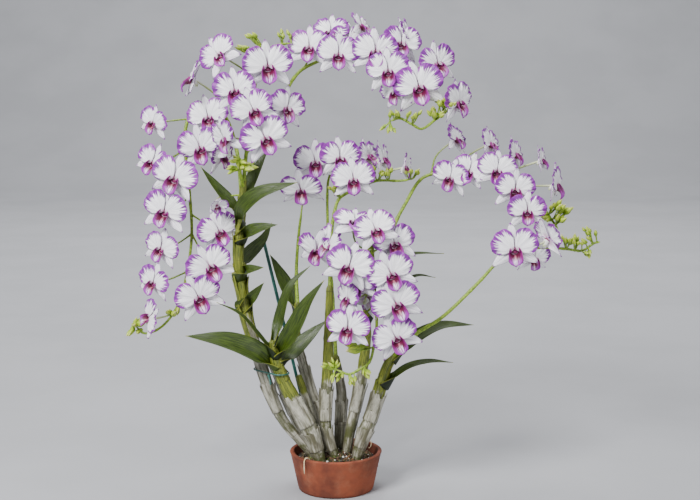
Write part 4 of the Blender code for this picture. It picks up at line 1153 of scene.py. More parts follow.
@dataclass
class Cane:
    """One cane in its papery sheaths, from inside the mix to its top."""

    name: str
    plan: CanePlan
    sweep: SweepTree
    depth: float = 0.026
    spacing: float = 0.033

    def route(self, per_span: int = 8) -> list[Vector]:
        """Return the cane's centre line from its foot in the mix to its top."""
        points = [from_rim(point) for point in self.plan.points]
        foot = points[0] - Vector((0, 0, self.depth))
        return smooth_route([foot, *points], per_span)

    def radii(self, share: np.ndarray) -> np.ndarray:
        """Return the cane's radius at shares of its length, in metres."""
        foot, middle, top = (0.5 * size * MM for size in self.plan.thickness)
        rise = np.sin(0.5 * math.pi * np.minimum(share / 0.4, 1.0))
        fall = (np.clip(share - 0.4, 0, 1) / 0.6) ** 1.6
        radius = np.where(share < 0.4, foot + (middle - foot) * rise, middle + (top - middle) * fall)
        radius *= 0.72 + 0.28 * np.minimum(share / 0.34, 1.0)
        return radius * np.sqrt(np.clip((1.004 - share) / 0.012, 0.05, 1.0))

    def build(self) -> bpy.types.Object:
        """Sweep the cane and let it stand for its CAD node."""
        route = self.route()
        reached = lengths_along(route)
        share = reached / reached[-1]
        youth = np.clip(0.5 + (share - self.plan.green_from) / 0.24, 0, 1)
        grime = self.plan.grime + 0.6 * np.clip((0.32 - share) / 0.3, 0, 1)
        line = Line(route, 0.955 * self.radii(share), {"youth": youth, "grime": grime})
        piece = self.sweep.grow(f"{self.name}_stem", line_mesh(f"{self.name}_line", [line]), Sides=26,
                                Node_Spacing=self.spacing, Node_Height=0.07, Sheath_Step=0.055,
                                Flutes=6, Flute_Depth=0.035, Unevenness=0.0016, Grain=55.0,
                                Finish=CANE.material())
        return dressed(piece, (self.name,))


@dataclass
class TornSheath:
    """A dry sheath that stands off its cane, torn along its top edge and split down one side."""

    name: str
    cane: Cane
    start: float
    end: float
    facing: float
    reach: float = 4.6
    flare: float = 0.30
    ragged: float = 0.16
    youth: float = 0.0
    seed: int = 1

    def build(self) -> bpy.types.Object:
        """Wrap the sheath round its cane between two shares of its length."""
        route = self.cane.route(16)
        reached = lengths_along(route)
        share = reached / reached[-1]
        radii = self.cane.radii(share)
        ways = directions(route)
        draw = np.random.default_rng(self.seed)
        phases = draw.uniform(0, math.tau, 4)
        columns, rows = 41, 22
        grid = np.zeros((columns, rows, 3))
        along = np.zeros((columns, rows))
        around = np.zeros((columns, rows))
        for i in range(columns):
            u = 2 * i / (columns - 1) - 1
            torn = (math.sin(5.0 * u + phases[0]) + 0.7 * math.sin(13.0 * u + phases[1])
                    + 0.4 * math.sin(31.0 * u + phases[2])) / 2.1
            top = self.end + self.ragged * (self.end - self.start) * torn
            for j in range(rows):
                v = j / (rows - 1)
                at = self.start + (top - self.start) * v
                k = min(int(np.searchsorted(share, at)), len(route) - 1)
                blend = (at - share[k - 1]) / max(share[k] - share[k - 1], 1e-9)
                centre = route[k - 1].lerp(route[k], float(np.clip(blend, 0, 1)))
                side = Vector((1, 0, 0)) - ways[k] * ways[k].x
                side.normalize()
                other = ways[k].cross(side)
                turn = math.radians(self.facing) + 0.5 * self.reach * u * (1 - 0.12 * v)
                out = radii[k] * (1.035 + self.flare * v ** 3 * (0.35 + 0.65 * abs(u) ** 2))
                out += 0.0003 * math.sin(9 * turn + 7 * v + phases[3]) * v
                grid[i, j] = centre + (side * math.cos(turn) + other * math.sin(turn)) * float(out)
                along[i, j] = at * reached[-1]
                around[i, j] = turn / math.tau
        shell = sheet_shell(grid, 0.00035, 0, along=along, around=around,
                            phase=np.full(along.shape, 0.5), youth=np.full(along.shape, self.youth),
                            grime=np.full(along.shape, 0.25 * (1 - self.youth)))
        mesh = joined_mesh(self.name, [shell], ("along", "around", "phase", "youth", "grime"))
        mesh.materials.append(CANE.material())
        return dressed(linked(self.name, mesh))


@dataclass
class StrapLeaf:
    """One strap leaf, channelled along its midrib, thin at its edges and pointed."""

    name: str
    plan: LeafPlan
    cane_radius: float
    seed: int
    across: int = 15
    per_span: int = 16

    def build(self) -> bpy.types.Object:
        """Build the blade as a thin curved sheet, and let it stand for its CAD node."""
        route = smooth_route([from_rim(point) for point in self.plan.points], self.per_span)
        reached = lengths_along(route)
        share = reached / reached[-1]
        swell = np.sin(math.pi * np.minimum(1.0, 0.16 + 0.84 * share) ** 0.85)
        half = np.maximum(0.5 * self.plan.width * MM * swell, 0.0002)
        foot = np.minimum(half, 0.8 * self.cane_radius)
        half = foot + (half - foot) * np.minimum(1.0, share / 0.2)
        hint = Vector(self.plan.upper_side).normalized()
        s = np.linspace(-1, 1, self.across)
        draw = np.random.default_rng(self.seed)
        phase = draw.uniform(0, math.tau, 3)
        grid = np.zeros((self.across, len(route), 3))
        frames = []
        for k, (centre, way) in enumerate(zip(route, directions(route))):
            side = way.cross(hint).normalized()
            up = side.cross(way).normalized()
            frames.append((side, up))
            sink = 0.30 * half[k] * (1.0 - 0.35 * share[k])
            lift = sink * (np.abs(s) ** 1.35 - 0.45)
            lift += 0.05 * half[k] * np.sin(14 * share[k] + phase[0] + 2.0 * s) * np.abs(s) ** 2
            lift += 0.0004 * np.sin(6 * share[k] + phase[1])
            twist = 0.10 * math.sin(3.0 * share[k] + phase[2]) * s * half[k] * share[k]
            for i in range(self.across):
                grid[i, k] = centre + side * (half[k] * s[i]) + up * float(lift[i] + twist[i])
        roll = 1.08 + 0.5 * self.plan.cup
        clasp = np.clip(1 - share / (0.12 + 0.5 * self.plan.cup), 0, 1) ** 1.1
        for k in range(len(route)):
            side, up = frames[k]
            for i in range(self.across):
                turn = 2.8 * s[i]
                hug = route[k] + (side * math.sin(turn) - up * math.cos(turn)) * (roll * self.cane_radius)
                grid[i, k] += clasp[k] * (np.array(hug) - grid[i, k])
        thickness = 0.0013 * (1 - 0.55 * np.abs(s) ** 3)[:, None] * (1 - 0.4 * share)[None, :]
        thickness += 0.0012 * np.exp(-(s / 0.12) ** 2)[:, None] * (1 - 0.7 * share)[None, :]
        shell = sheet_shell(grid, thickness, 0, across=s[:, None] + 0 * share, reach=share[None, :] + 0 * s[:, None],
                            tint=np.full((self.across, len(route)), draw.uniform()))
        count = self.across * len(route)
        shell.carried["underside"] = np.concatenate([np.ones(count), np.zeros(count)])
        mesh = joined_mesh(f"{self.name}_blade", [shell], ("across", "reach", "tint", "underside"))
        mesh.materials.append(LEAF.material())
        return dressed(linked(f"{self.name}_blade", mesh), (self.name,))


@dataclass
class Flower:
    """One flower: dorsal sepal, two side sepals, two broad petals, lip, column and spur."""

    name: str
    place: Vector
    turn: float
    nod: float
    lean: float
    size: float
    seed: int
    span: float = 0.066

    def __post_init__(self) -> None:
        """Work out the flower's axes and its own draw of chance."""
        turn, nod, lean = (math.radians(angle) for angle in (self.turn, self.nod, self.lean))
        self.facing = Vector((math.sin(turn) * math.cos(nod), -math.cos(turn) * math.cos(nod), math.sin(nod)))
        right = Vector((math.cos(turn), math.sin(turn), 0))
        up = self.facing.cross(right)
        self.up = up * math.cos(lean) + right * math.sin(lean)
        self.right = right * math.cos(lean) - up * math.sin(lean)
        self.half = 0.5 * self.span * self.size * FULLNESS
        self.draw = np.random.default_rng(self.seed)
        self.closed = max(0.0, (0.72 - self.size) / 0.2)

    def petal(self, angle: float, reach: float, opening: float, side: int) -> Shell:
        """Make one broad petal as a ruffled fan.

        Args:
            angle: The petal's middle, in degrees clockwise from the top.
            reach: How far its rim stands from the flower's middle.
            opening: Half the fan's angle, in degrees.
            side: 1 on the right and -1 on the left, so that ruffles differ.

        Returns:
            The petal's closed shell.
        """
        s = np.linspace(-1, 1, 29)[:, None]
        r = (1 - (1 - np.linspace(0, 1, 15)) ** 1.25)[None, :]
        waves = self.draw.uniform(0, 1, 6)
        middle = math.radians(angle)
        fan = middle + s * math.radians(opening)
        rim = reach * (1 - 0.30 * np.abs(s) ** 3.4 - 0.03 * s * side)
        rim = rim * (1 + 0.012 * np.sin(math.tau * (2.1 * s + waves[0])) + 0.004 * np.sin(math.tau * (5.3 * s + waves[1])))
        claw = 0.07
        foot = np.stack([claw * math.sin(middle) + s * 0.05 * math.cos(middle),
                         claw * math.cos(middle) - s * 0.05 * math.sin(middle)], -1)
        outline = np.stack([rim * np.sin(fan), rim * np.cos(fan)], -1)
        bulge = np.sin(math.pi * r)[..., None] * 0.035 * np.sign(s)[..., None] * (np.abs(s) ** 4)[..., None]
        sideways = np.stack([np.cos(fan), -np.sin(fan)], -1)
        flat = foot + r[..., None] * (outline - foot) + bulge * sideways
        ruffle = 0.038 * np.sin(math.tau * ((1.7 + 0.5 * waves[2]) * s + waves[3])) * r ** 2.2
        ruffle = ruffle + 0.018 * np.sin(math.tau * (4.1 * s + waves[4])) * r ** 4
        cup = 0.03 + 0.10 * r - 0.13 * r ** 2 + (0.05 * (waves[5] - 0.3)) * s ** 2 * r
        crease = -0.030 * np.exp(-(s / 0.10) ** 2) * r * (1 - 0.5 * r)
        tilt = self.draw.uniform(-0.10, 0.10) * s * r
        forward = cup + ruffle + crease + tilt + self.closed * 0.9 * r ** 1.3 + 0.03 * s * side * r
        squeeze = 1 - 0.45 * self.closed * r
        grid = np.concatenate([flat * squeeze[..., None], forward[..., None]], -1)
        thickness = (0.020 - 0.011 * r) + 0 * s
        return sheet_shell(grid, thickness, 0, across=s + 0 * r + 3.0 * side, reach=r + 0 * s,
                           edging=np.full(forward.shape, self.draw.uniform(0.65, 1.3)),
                           tint=np.full(forward.shape, self.draw.uniform()))

    def sepal(self, angle: float, reach: float, width: float, point: float, bend: float) -> Shell:
        """Make one pointed sepal as a channelled blade.

        Args:
            angle: The sepal's middle, in degrees clockwise from the top.
            reach: How far its tip stands from the flower's middle.
            width: Half its greatest width.
            point: How straight its sides run to its tip, from 0.6 to 1.
            bend: How far its tip is turned clockwise, in degrees.

        Returns:
            The sepal's closed shell.
        """
        s = np.linspace(-1, 1, 13)[:, None]
        t = np.linspace(0, 1, 21)[None, :]
        waves = self.draw.uniform(-1, 1, 4)
        half = width * (1.40 + 0.45 * point) * np.maximum(1 - t, 0.0006) ** point * (t + 0.11) ** 0.35
        line = math.radians(angle) + math.radians(bend) * (t - 0.2)
        flat_x = reach * t * np.sin(line) + s * half * np.cos(line)
        flat_y = reach * t * np.cos(line) - s * half * np.sin(line)
        curl = -0.06 + 0.05 * t - (0.11 + 0.07 * waves[0]) * t ** 2
        roll = -0.16 * half * s ** 2 * (2.2 - t) + 0.012 * np.sin(5 * t + 3 * waves[1]) * s
        keel = -0.022 * np.exp(-(s / 0.16) ** 2) * (1 - 0.5 * t)
        forward = curl + roll + keel + self.closed * 0.9 * t ** 1.3 + 0.05 * waves[2] * s * t
        squeeze = 1 - 0.45 * self.closed * t
        grid = np.stack([flat_x * squeeze, flat_y * squeeze, forward + 0 * flat_x], -1)
        rim = np.maximum(0.955 * np.abs(s) ** 5 + 0.03 * t, t ** 1.8 * 0.99) + 0 * s
        thickness = 0.024 - 0.010 * t + 0 * s
        # crease: where painted shade goes, along the sepal's fold, strongest on the side sepals
        crease = np.exp(-(s / 0.09) ** 2) * np.clip(1.1 - t, 0, 1) * (0.35 + 0.65 * (abs(angle) > 60))
        return sheet_shell(grid, thickness, 0, across=1.4 * s + 0 * t + angle, reach=rim + 0.0 * t,
                           crease=crease, edging=np.full(forward.shape, self.draw.uniform(0.45, 0.9)),
                           tint=np.full(forward.shape, self.draw.uniform()))

    def lip(self) -> Shell:
        """Make the lip: a deep throat that opens into a waved lobe hanging forward."""
        u = np.linspace(-1, 1, 25)[:, None]
        v = np.linspace(0, 1, 27)[None, :]
        waves = self.draw.uniform(0, 1, 3)
        stops = [0.0, 0.12, 0.25, 0.40, 0.52, 0.68, 0.85, 1.0]
        spine_y = eased(v, stops, [0.13, -0.06, -0.17, -0.21, -0.26, -0.38, -0.52, -0.62])
        spine_z = eased(v, stops, [-0.07, -0.12, -0.08, 0.02, 0.12, 0.22, 0.24, 0.18])
        width = eased(v, stops, [0.12, 0.34, 0.44, 0.42, 0.35, 0.31, 0.24, 0.02])
        curve = eased(v, stops, [6.0, 5.6, 5.2, 4.6, 3.6, 2.2, 1.0, -0.6])
        width = width * np.sqrt(np.clip((1.0 - v) / 0.30, 0.01, 1.0))
        curve = np.where(np.abs(curve) < 0.05, 0.05, curve)
        way_y, way_z = np.gradient(spine_y, axis=1), np.gradient(spine_z, axis=1)
        length = np.hypot(way_y, way_z)
        in_y, in_z = way_z / length, -way_y / length
        arc = u * width * curve
        lift = (1 - np.cos(arc)) / curve
        lobe = np.clip((v - 0.5) / 0.3, 0, 1)
        wave = 0.030 * lobe * np.sin(math.tau * (1.5 * u + 1.1 * v + waves[0])) * np.abs(u)
        notch = 0.06 * np.clip((v - 0.9) / 0.1, 0, 1) * np.exp(-(u / 0.3) ** 2)
        swing = 0.05 * (waves[1] - 0.5) * v
        grid = np.stack([np.sin(arc) / curve + swing,
                         spine_y + in_y * lift + notch,
                         spine_z + in_z * lift + wave + 0 * u], -1)
        grid[..., 2] -= self.closed * 0.1
        return sheet_shell(grid, 0.020 + 0 * u * v, 1, across=u + 0 * v, reach=v + 0 * u,
                           tint=np.full(wave.shape, self.draw.uniform()))

    def column(self) -> Shell:
        """Make the short hooded column at the top of the throat."""
        t = np.linspace(0, 1, 9)
        centres = np.stack([0 * t, 0.09 + 0.03 * np.sin(math.pi * t) - 0.04 * t, -0.12 + 0.18 * t], -1)
        radii = eased(t, [0, 0.3, 0.7, 0.9, 1.0], [0.036, 0.040, 0.044, 0.032, 0.010])
        shell = tube_shell(centres, radii, 12, 2, 0.8)
        shell.carried["reach"] = 0.35 * shell.carried["reach"]
        return shell

    def spur(self) -> Shell:
        """Make the chin behind the flower, where the side sepals join."""
        t = np.linspace(0, 1, 9)
        centres = np.stack([0 * t, 0.02 - 0.16 * t - 0.05 * t ** 2, -0.06 - 0.30 * t], -1)
        radii = eased(t, [0, 0.35, 0.75, 0.93, 1.0], [0.15, 0.13, 0.085, 0.055, 0.012])
        shell = tube_shell(centres, radii, 12, 2)
        shell.carried["reach"] = 0.28 + 0.72 * shell.carried["reach"]
        return shell

    def build(self) -> bpy.types.Object:
        """Join the flower's shells, turn them to face their way and dress them."""
        jitter = self.draw.uniform(-1, 1, 10)
        shells = [
            self.sepal(3 * jitter[0], 1.07, 0.225, 0.62, 6 * jitter[1]),
            self.sepal(120 + 5 * jitter[2], 1.06, 0.28, 0.84, 8 + 5 * jitter[3]),
            self.sepal(-120 + 5 * jitter[4], 1.06, 0.28, 0.84, -8 + 5 * jitter[5]),
            self.petal(57 + 4 * jitter[6], 1.0 + 0.03 * jitter[7], 47, 1),
            self.petal(-57 + 4 * jitter[8], 1.0 + 0.03 * jitter[9], 47, -1),
            self.lip(), self.column(), self.spur()]
        axes = np.array([self.right, self.up, self.facing]) * self.half
        for shell in shells:
            shell.points = shell.points @ axes + np.array(self.place)
        mesh = joined_mesh(self.name, shells, ("across", "reach", "edging", "tint", "crease"))
        for finish in (PETAL, LIP, COLUMN):
            mesh.materials.append(finish.material())
        return linked(self.name, mesh)


@dataclass
class BudForm:
    """A closed bud 1 m long along Z about its middle, to be set out at its real size."""

    rings: int = 13
    sides: int = 18
    girth: float = 0.235

    def build(self) -> bpy.types.Object:
        """Build the three-sided bud with its seams and the small chin at its foot."""
        t = np.linspace(0, 1, self.rings)
        swell = eased(t, [0, 0.08, 0.25, 0.45, 0.7, 0.9, 1.0], [0.10, 0.42, 0.88, 1.0, 0.66, 0.26, 0.04])
        turn = np.linspace(0, math.tau, self.sides, endpoint=False)
        seam = np.clip(np.cos(3 * turn), 0, 1) ** 6
        radius = self.girth * swell[:, None] * (1 - 0.09 * seam * np.sin(math.pi * t)[:, None])
        chin = 0.12 * np.exp(-((t - 0.14) / 0.14) ** 2)[:, None] * np.clip(np.cos(turn - 1.0), 0, 1) ** 2
        ring = np.stack([np.cos(turn), np.sin(turn)], -1)
        flat = (radius + chin)[..., None] * ring
        height = (t[:, None] - 0.5 - 0.3 * chin) + 0 * turn
        points = np.concatenate([flat, height[..., None]], -1)
        index = np.arange(self.rings * self.sides).reshape(self.rings, self.sides)
        after = np.roll(index, -1, axis=1)
        body = np.stack([index[:-1], after[:-1], after[1:], index[1:]], -1).reshape(-1, 4)
        count = self.rings * self.sides
        start = np.stack([after[0], index[0], np.full(self.sides, count), np.full(self.sides, count)], -1)
        end = np.stack([index[-1], after[-1], np.full(self.sides, count + 1), np.full(self.sides, count + 1)], -1)
        points = np.concatenate([points.reshape(-1, 3), [[0, 0, -0.5], [0, 0, 0.503]]])
        reach = np.concatenate([np.repeat(t, self.sides), [0.0, 1.0]])
        seams = np.concatenate([np.tile(seam, self.rings), [0.0, 0.0]])
        shell = Shell(points, np.concatenate([body, start, end]), {"reach": reach, "seam": seams})
        return linked("bud_form", joined_mesh("bud_form", [shell], ("reach", "seam")))


@dataclass
class Spray:
    """One spray: stem, stalks, flowers and buds."""

    name: str
    plan: SprayPlan
    sweep: SweepTree
    buds_tree: BudTree
    bud_form: bpy.types.Object
    seed: int
    stem_radius: float = 0.0026
    stalk_radius: float = 0.0012
    back_depth: float = 0.34
    bud_length: float = 0.023

    def coarse_route(self) -> list[Vector]:
        """Return the stem's route with the two steps a span that its stalks leave from."""
        return smooth_route([from_rim(point) for point in self.plan.stem], 2)

    def stem_line(self) -> Line:
        """Return the stem's own line, thinner towards its end."""
        route = smooth_route([from_rim(point) for point in self.plan.stem], 8)
        share = lengths_along(route) / lengths_along(route)[-1]
        radii = self.stem_radius * (1.1 - 0.45 * share)
        radii[-3:] *= [0.8, 0.5, 0.2]
        return Line(route, radii, {"paleness": 0.15 * share})

    def flower_stalk(self, flower: Flower) -> Line:
        """Return the line of the stalk that carries a flower."""
        route = self.coarse_route()
        index = min(range(len(route)), key=lambda i: (route[i] - (flower.place - flower.facing * flower.half)).length)
        start = route[max(0, index - 1)]
        back = flower.place - flower.facing * (flower.half * self.back_depth)
        reach = 0.4 * (back - start).length
        bend = (start + 2 * (back - flower.facing * reach)) / 3
        inside = flower.place - flower.facing * (flower.half * 0.12)
        path = smooth_route([start, bend, back, inside], 6)
        share = np.linspace(0, 1, len(path))
        radii = self.stalk_radius * (1.0 + 0.45 * np.exp(-(share / 0.08) ** 2) + 0.5 * share ** 3)
        return Line(path, radii, {"paleness": 0.2 + 0.8 * share})

    def bud_stalk(self, place: Vector, size: float) -> tuple[Line, Vector]:
        """Return the line of a bud's stalk and the way that the bud points.

        Args:
            place: The bud's middle.
            size: The bud's size.

        Returns:
            The line and the unit direction.
        """
        route = self.coarse_route()
        start = min(route, key=lambda point: (point - place).length)
        way = (place - start).normalized()
        foot = place - way * (0.48 * self.bud_length * size)
        middle = start.lerp(foot, 0.5) - Vector((0, 0, 0.12 * (foot - start).length))
        path = smooth_route([start, middle, foot + way * 0.0008], 5)
        return Line(path, np.full(len(path), self.stalk_radius * 0.75), {"paleness": 0.25}), way

    def build_flowers(self) -> tuple[list[bpy.types.Object], list[Line]]:
        """Build the spray's flowers and the lines of their stalks."""
        pieces, lines = [], []
        for number_, (point, turn, nod, lean, size) in enumerate(self.plan.flowers, 1):
            split, left, right = self.plan.sway
            lean += (left if point[0] < split else right) + 7 * math.sin(12.9898 * number_)
            flower = Flower(f"{self.name}_flower_{number_:02d}", from_rim(point), turn, nod, lean, size,
                            100 * self.seed + number_)
            pieces.append(dressed(flower.build(), (self.name,)))
            lines.append(self.flower_stalk(flower))
        return pieces, lines

    def build_buds(self) -> tuple[bpy.types.Object | None, list[Line]]:
        """Build the spray's buds as one piece, and the lines of their stalks."""
        lines, turns, points, sizes = [], [], [], []
        draw = np.random.default_rng(self.seed)
        young = []
        for point, size in self.plan.buds:
            for _ in range(5):
                stray = draw.normal(size=3)
                stray *= 10.5 / np.linalg.norm(stray)
                young.append(((point[0] + stray[0], point[1] + stray[1], point[2] + 0.8 * abs(stray[2]) - 2),
                              0.58 * size + 0.12))
        for point, size in (*self.plan.buds, *young):
            place = from_rim(point)
            line, way = self.bud_stalk(place, size)
            lines.append(line)
            points.append(tuple(place))
            turns += list(way.to_track_quat("Z", "Y").to_euler())
            sizes.append(self.bud_length * size)
        if not points:
            return None, lines
        mesh = bpy.data.meshes.new(f"{self.name}_bud_places")
        mesh.from_pydata(points, [], [])
        mesh.attributes.new("turn", "FLOAT_VECTOR", "POINT").data.foreach_set("vector", turns)
        mesh.attributes.new("size", "FLOAT", "POINT").data.foreach_set("value", sizes)
        piece = self.buds_tree.grow(f"{self.name}_buds", mesh, Bud=self.bud_form, Finish=BUD.material())
        return dressed(piece, (self.name,)), lines

    def build(self) -> None:
        """Build the flowers, the buds, and the stem with all of its stalks."""
        _, flower_lines = self.build_flowers()
        _, bud_lines = self.build_buds()
        mesh = line_mesh(f"{self.name}_lines", [self.stem_line(), *flower_lines, *bud_lines])
        stem = self.sweep.grow(f"{self.name}_stem", mesh, Sides=10, Node_Spacing=0.021, Node_Height=0.22,
                               Sheath_Step=0.0, Flute_Depth=0.0, Unevenness=0.0003, Grain=200.0,
                               Finish=STALK.material())
        dressed(stem, (self.name,))


# ------------------------------------------------------------------ the pot and what is in it


@dataclass
class Pot:
    """The clay pan, turned on a wheel, with three drain holes."""

    rim: float = POT_RIM
    height: float = POT_HEIGHT
    foot: float = 0.053
    wall: float = 0.006
    floor: float = 0.007
    sides: int = 128
    hole: float = 0.006
    hole_ring: float = 0.028
    holes: int = 3

    def outer(self, height: float) -> float:
        """Return the wall's outer radius at a height."""
        return self.foot + (self.rim - self.foot) * height / self.height

    def profile(self) -> list[tuple[float, float]]:
        """Return the turned outline as radius and height, from the foot's middle over the rim to the floor."""
        outline = [(0.0, 0.0), (0.6 * self.foot, 0.0), (self.foot - 0.002, 0.0), (self.foot - 0.0006, 0.0005)]
        steps = 22
        for k in range(1, steps):
            height = 0.0015 + (self.height - 0.004) * k / steps
            outline.append((self.outer(height) + 0.00018 * math.sin(2.9 * k) - 0.0002, height))
        top = self.height
        edge = self.wall / 2
        centre = self.outer(top) - edge
        for k in range(9):
            turn = math.pi * k / 8
            outline.append((centre + edge * math.cos(turn), top - 0.0016 + 0.0016 * math.sin(turn)))
        for k in range(1, 12):
            height = top - 0.002 - (top - self.floor - 0.006) * k / 11
            outline.append((self.outer(height) - self.wall + 0.0002 * math.sin(2.1 * k), height))
        outline += [(self.outer(self.floor) - self.wall - 0.002, self.floor + 0.0008),
                    (self.outer(self.floor) - self.wall - 0.006, self.floor), (0.0, self.floor)]
        return outline

    def turned(self) -> bpy.types.Object:
        """Turn the outline round the pot's axis, slightly out of true."""
        outline = self.profile()
        shape = bmesh.new()
        rings = []
        for radius, height in outline:
            if radius == 0.0:
                rings.append([shape.verts.new((0, 0, height))])
                continue
            ring = []
            for k in range(self.sides):
                turn = math.tau * k / self.sides
                wobble = 0.0003 * noise.noise(Vector((2 * math.cos(turn), 2 * math.sin(turn), 40 * height)))
                ring.append(shape.verts.new(((radius + wobble) * math.cos(turn),
                                             (radius + wobble) * math.sin(turn), height)))
            rings.append(ring)
        for lower, upper in zip(rings, rings[1:]):
            for k in range(self.sides):
                after = (k + 1) % self.sides
                if len(lower) == 1:
                    shape.faces.new((lower[0], upper[after], upper[k]))
                elif len(upper) == 1:
                    shape.faces.new((lower[k], lower[after], upper[0]))
                else:
                    shape.faces.new((lower[k], lower[after], upper[after], upper[k]))
        bmesh.ops.recalc_face_normals(shape, faces=shape.faces)
        mesh = bpy.data.meshes.new("pot_turned")
        shape.to_mesh(mesh)
        shape.free()
        return linked("pot_turned", mesh)

    def build(self) -> bpy.types.Object:
        """Turn the pot, cut its drain holes and let it stand for its CAD node."""
        pot = self.turned()
        cutters = []
        for k in range(self.holes):
            turn = math.tau * (k + 0.25) / self.holes
            at = Matrix.Translation((self.hole_ring * math.cos(turn), self.hole_ring * math.sin(turn), 0))
            shape = bmesh.new()
            bmesh.ops.create_cone(shape, cap_ends=True, segments=32, radius1=self.hole, radius2=self.hole,
                                  depth=6 * self.floor, matrix=at)
            mesh = bpy.data.meshes.new(f"drain_{k}")
            shape.to_mesh(mesh)
            shape.free()
            cutters.append(linked(f"drain_{k}", mesh))
            cut = pot.modifiers.new("Drain", "BOOLEAN")
            cut.operation = "DIFFERENCE"
            cut.object = cutters[-1]
        piece = evaluated_copy("clay_pan", pot)
        for cutter in cutters:
            bpy.data.objects.remove(cutter, do_unlink=True)
        piece.data.materials.clear()
        piece.data.materials.append(CLAY.material())
        piece.data.shade_smooth()
        piece.data.set_sharp_from_angle(angle=math.radians(50))
        return dressed(piece, ("pot",))


@dataclass
class PottingMix:
    """The mounded mix: damp soil under bark, perlite and moss."""

    scatter: ScatterTree
    pot: Pot
    below_rim: float = 0.012
    mound: float = 0.009
    mound_radius: float = 0.046

    def top(self, radius: float) -> float:
        """Return the mix's height at a distance from the pot's axis."""
        level = self.pot.height - self.below_rim
        return level + self.mound * 0.5 * (1 + math.cos(math.pi * min(1.0, radius / self.mound_radius)))

    def soil(self) -> bpy.types.Mesh:
        """Build the soil as a closed lumpy disc that fills the pot."""
        rings, sides = 16, 72
        outer = self.pot.outer(self.pot.height - self.below_rim) - self.pot.wall - 0.0005
        floor = self.pot.floor + 0.0005
        shape = bmesh.new()
        centre = shape.verts.new((0, 0, self.top(0)))
        loops = []
        for ring in range(1, rings + 1):
            radius = outer * ring / rings
            loop = []
            for k in range(sides):
                turn = math.tau * k / sides
                x, y = radius * math.cos(turn), radius * math.sin(turn)
                lump = (0.0016 + 0.0022 * noise.noise(Vector((150 * x, 150 * y, 0)))) * (ring < rings)
                loop.append(shape.verts.new((x, y, self.top(radius) + lump)))
            loops.append(loop)
        base_radius = self.pot.outer(floor) - self.pot.wall - 0.0025
        loops.append([shape.verts.new((base_radius * math.cos(math.tau * k / sides),
                                       base_radius * math.sin(math.tau * k / sides), floor + 0.001))
                      for k in range(sides)])
        bottom = shape.verts.new((0, 0, floor + 0.001))
        for k in range(sides):
            after = (k + 1) % sides
            shape.faces.new((centre, loops[0][k], loops[0][after]))
            shape.faces.new((bottom, loops[-1][after], loops[-1][k]))
            for inner, wider in zip(loops, loops[1:]):
                shape.faces.new((inner[k], wider[k], wider[after], inner[after]))
        bmesh.ops.recalc_face_normals(shape, faces=shape.faces)
        mesh = bpy.data.meshes.new("soil")
        shape.to_mesh(mesh)
        shape.free()
        mesh.materials.append(SOIL.material())
        mesh.shade_smooth()
        return mesh

    def surface(self) -> bpy.types.Mesh:
        """Build the open surface that bits are scattered over, kept clear of the pot's wall."""
        shape = bmesh.new()
        outer = self.pot.outer(self.pot.height - self.below_rim) - self.pot.wall - 0.0055
        rings, sides = 8, 48
        centre = shape.verts.new((0, 0, self.top(0)))
        loops = [[shape.verts.new((outer * r / rings * math.cos(math.tau * k / sides),
                                   outer * r / rings * math.sin(math.tau * k / sides),
                                   self.top(outer * r / rings))) for k in range(sides)]
                 for r in range(1, rings + 1)]
        for k in range(sides):
            after = (k + 1) % sides
            shape.faces.new((centre, loops[0][k], loops[0][after]))
            for inner, wider in zip(loops, loops[1:]):
                shape.faces.new((inner[k], wider[k], wider[after], inner[after]))
        mesh = bpy.data.meshes.new("mix_surface")
        shape.to_mesh(mesh)
        shape.free()
        return mesh

    def bit(self, name: str, stretch: Point, roughness: float, seed: int) -> bpy.types.Object:
        """Build a small rough bit about 1 m across, to be scattered at its real size.

        Args:
            name: The bit's name.
            stretch: Its proportions.
            roughness: How far its corners stray, as a share of its size.
            seed: Which stray it has.

        Returns:
            The bit's object.
        """
        shape = bmesh.new()
        bmesh.ops.create_icosphere(shape, subdivisions=2, radius=0.5)
        for vert in shape.verts:
            stray = noise.noise_vector(2.3 * vert.co + Vector((seed, 0, 0))) * roughness
            vert.co = Vector((a * b for a, b in zip(vert.co + stray, stretch)))
        mesh = bpy.data.meshes.new(name)
        shape.to_mesh(mesh)
        shape.free()
        return linked(name, mesh)

    def build(self) -> None:
        """Build the soil and scatter the bits over it."""
        dressed(linked("mix_soil", self.soil()), ("potting_mix",))
        kinds = (
            ("mix_bark", (1.0, 0.6, 0.34), 0.35, BARK, 46000.0, 0.004, 0.0095, 0.7),
            ("mix_perlite", (1.0, 0.9, 0.8), 0.25, PERLITE, 14000.0, 0.0014, 0.0040, 3.0),
            ("mix_moss", (1.0, 0.35, 0.22), 0.5, MOSS, 46000.0, 0.002, 0.0060, 1.2),
        )
        for seed, (name, stretch, rough, finish, density, small, large, tilt) in enumerate(kinds, 3):
            bit = self.bit(f"{name}_bit", stretch, rough, seed)
            piece = self.scatter.grow(name, self.surface(), Bit=bit, Density=density, Smallest=small,
                                      Largest=large, Sink=-0.0018, Tilt=tilt, Seed=seed,
                                      Finish=finish.material())
            bpy.data.objects.remove(bit, do_unlink=True)
            dressed(piece, ("potting_mix",))


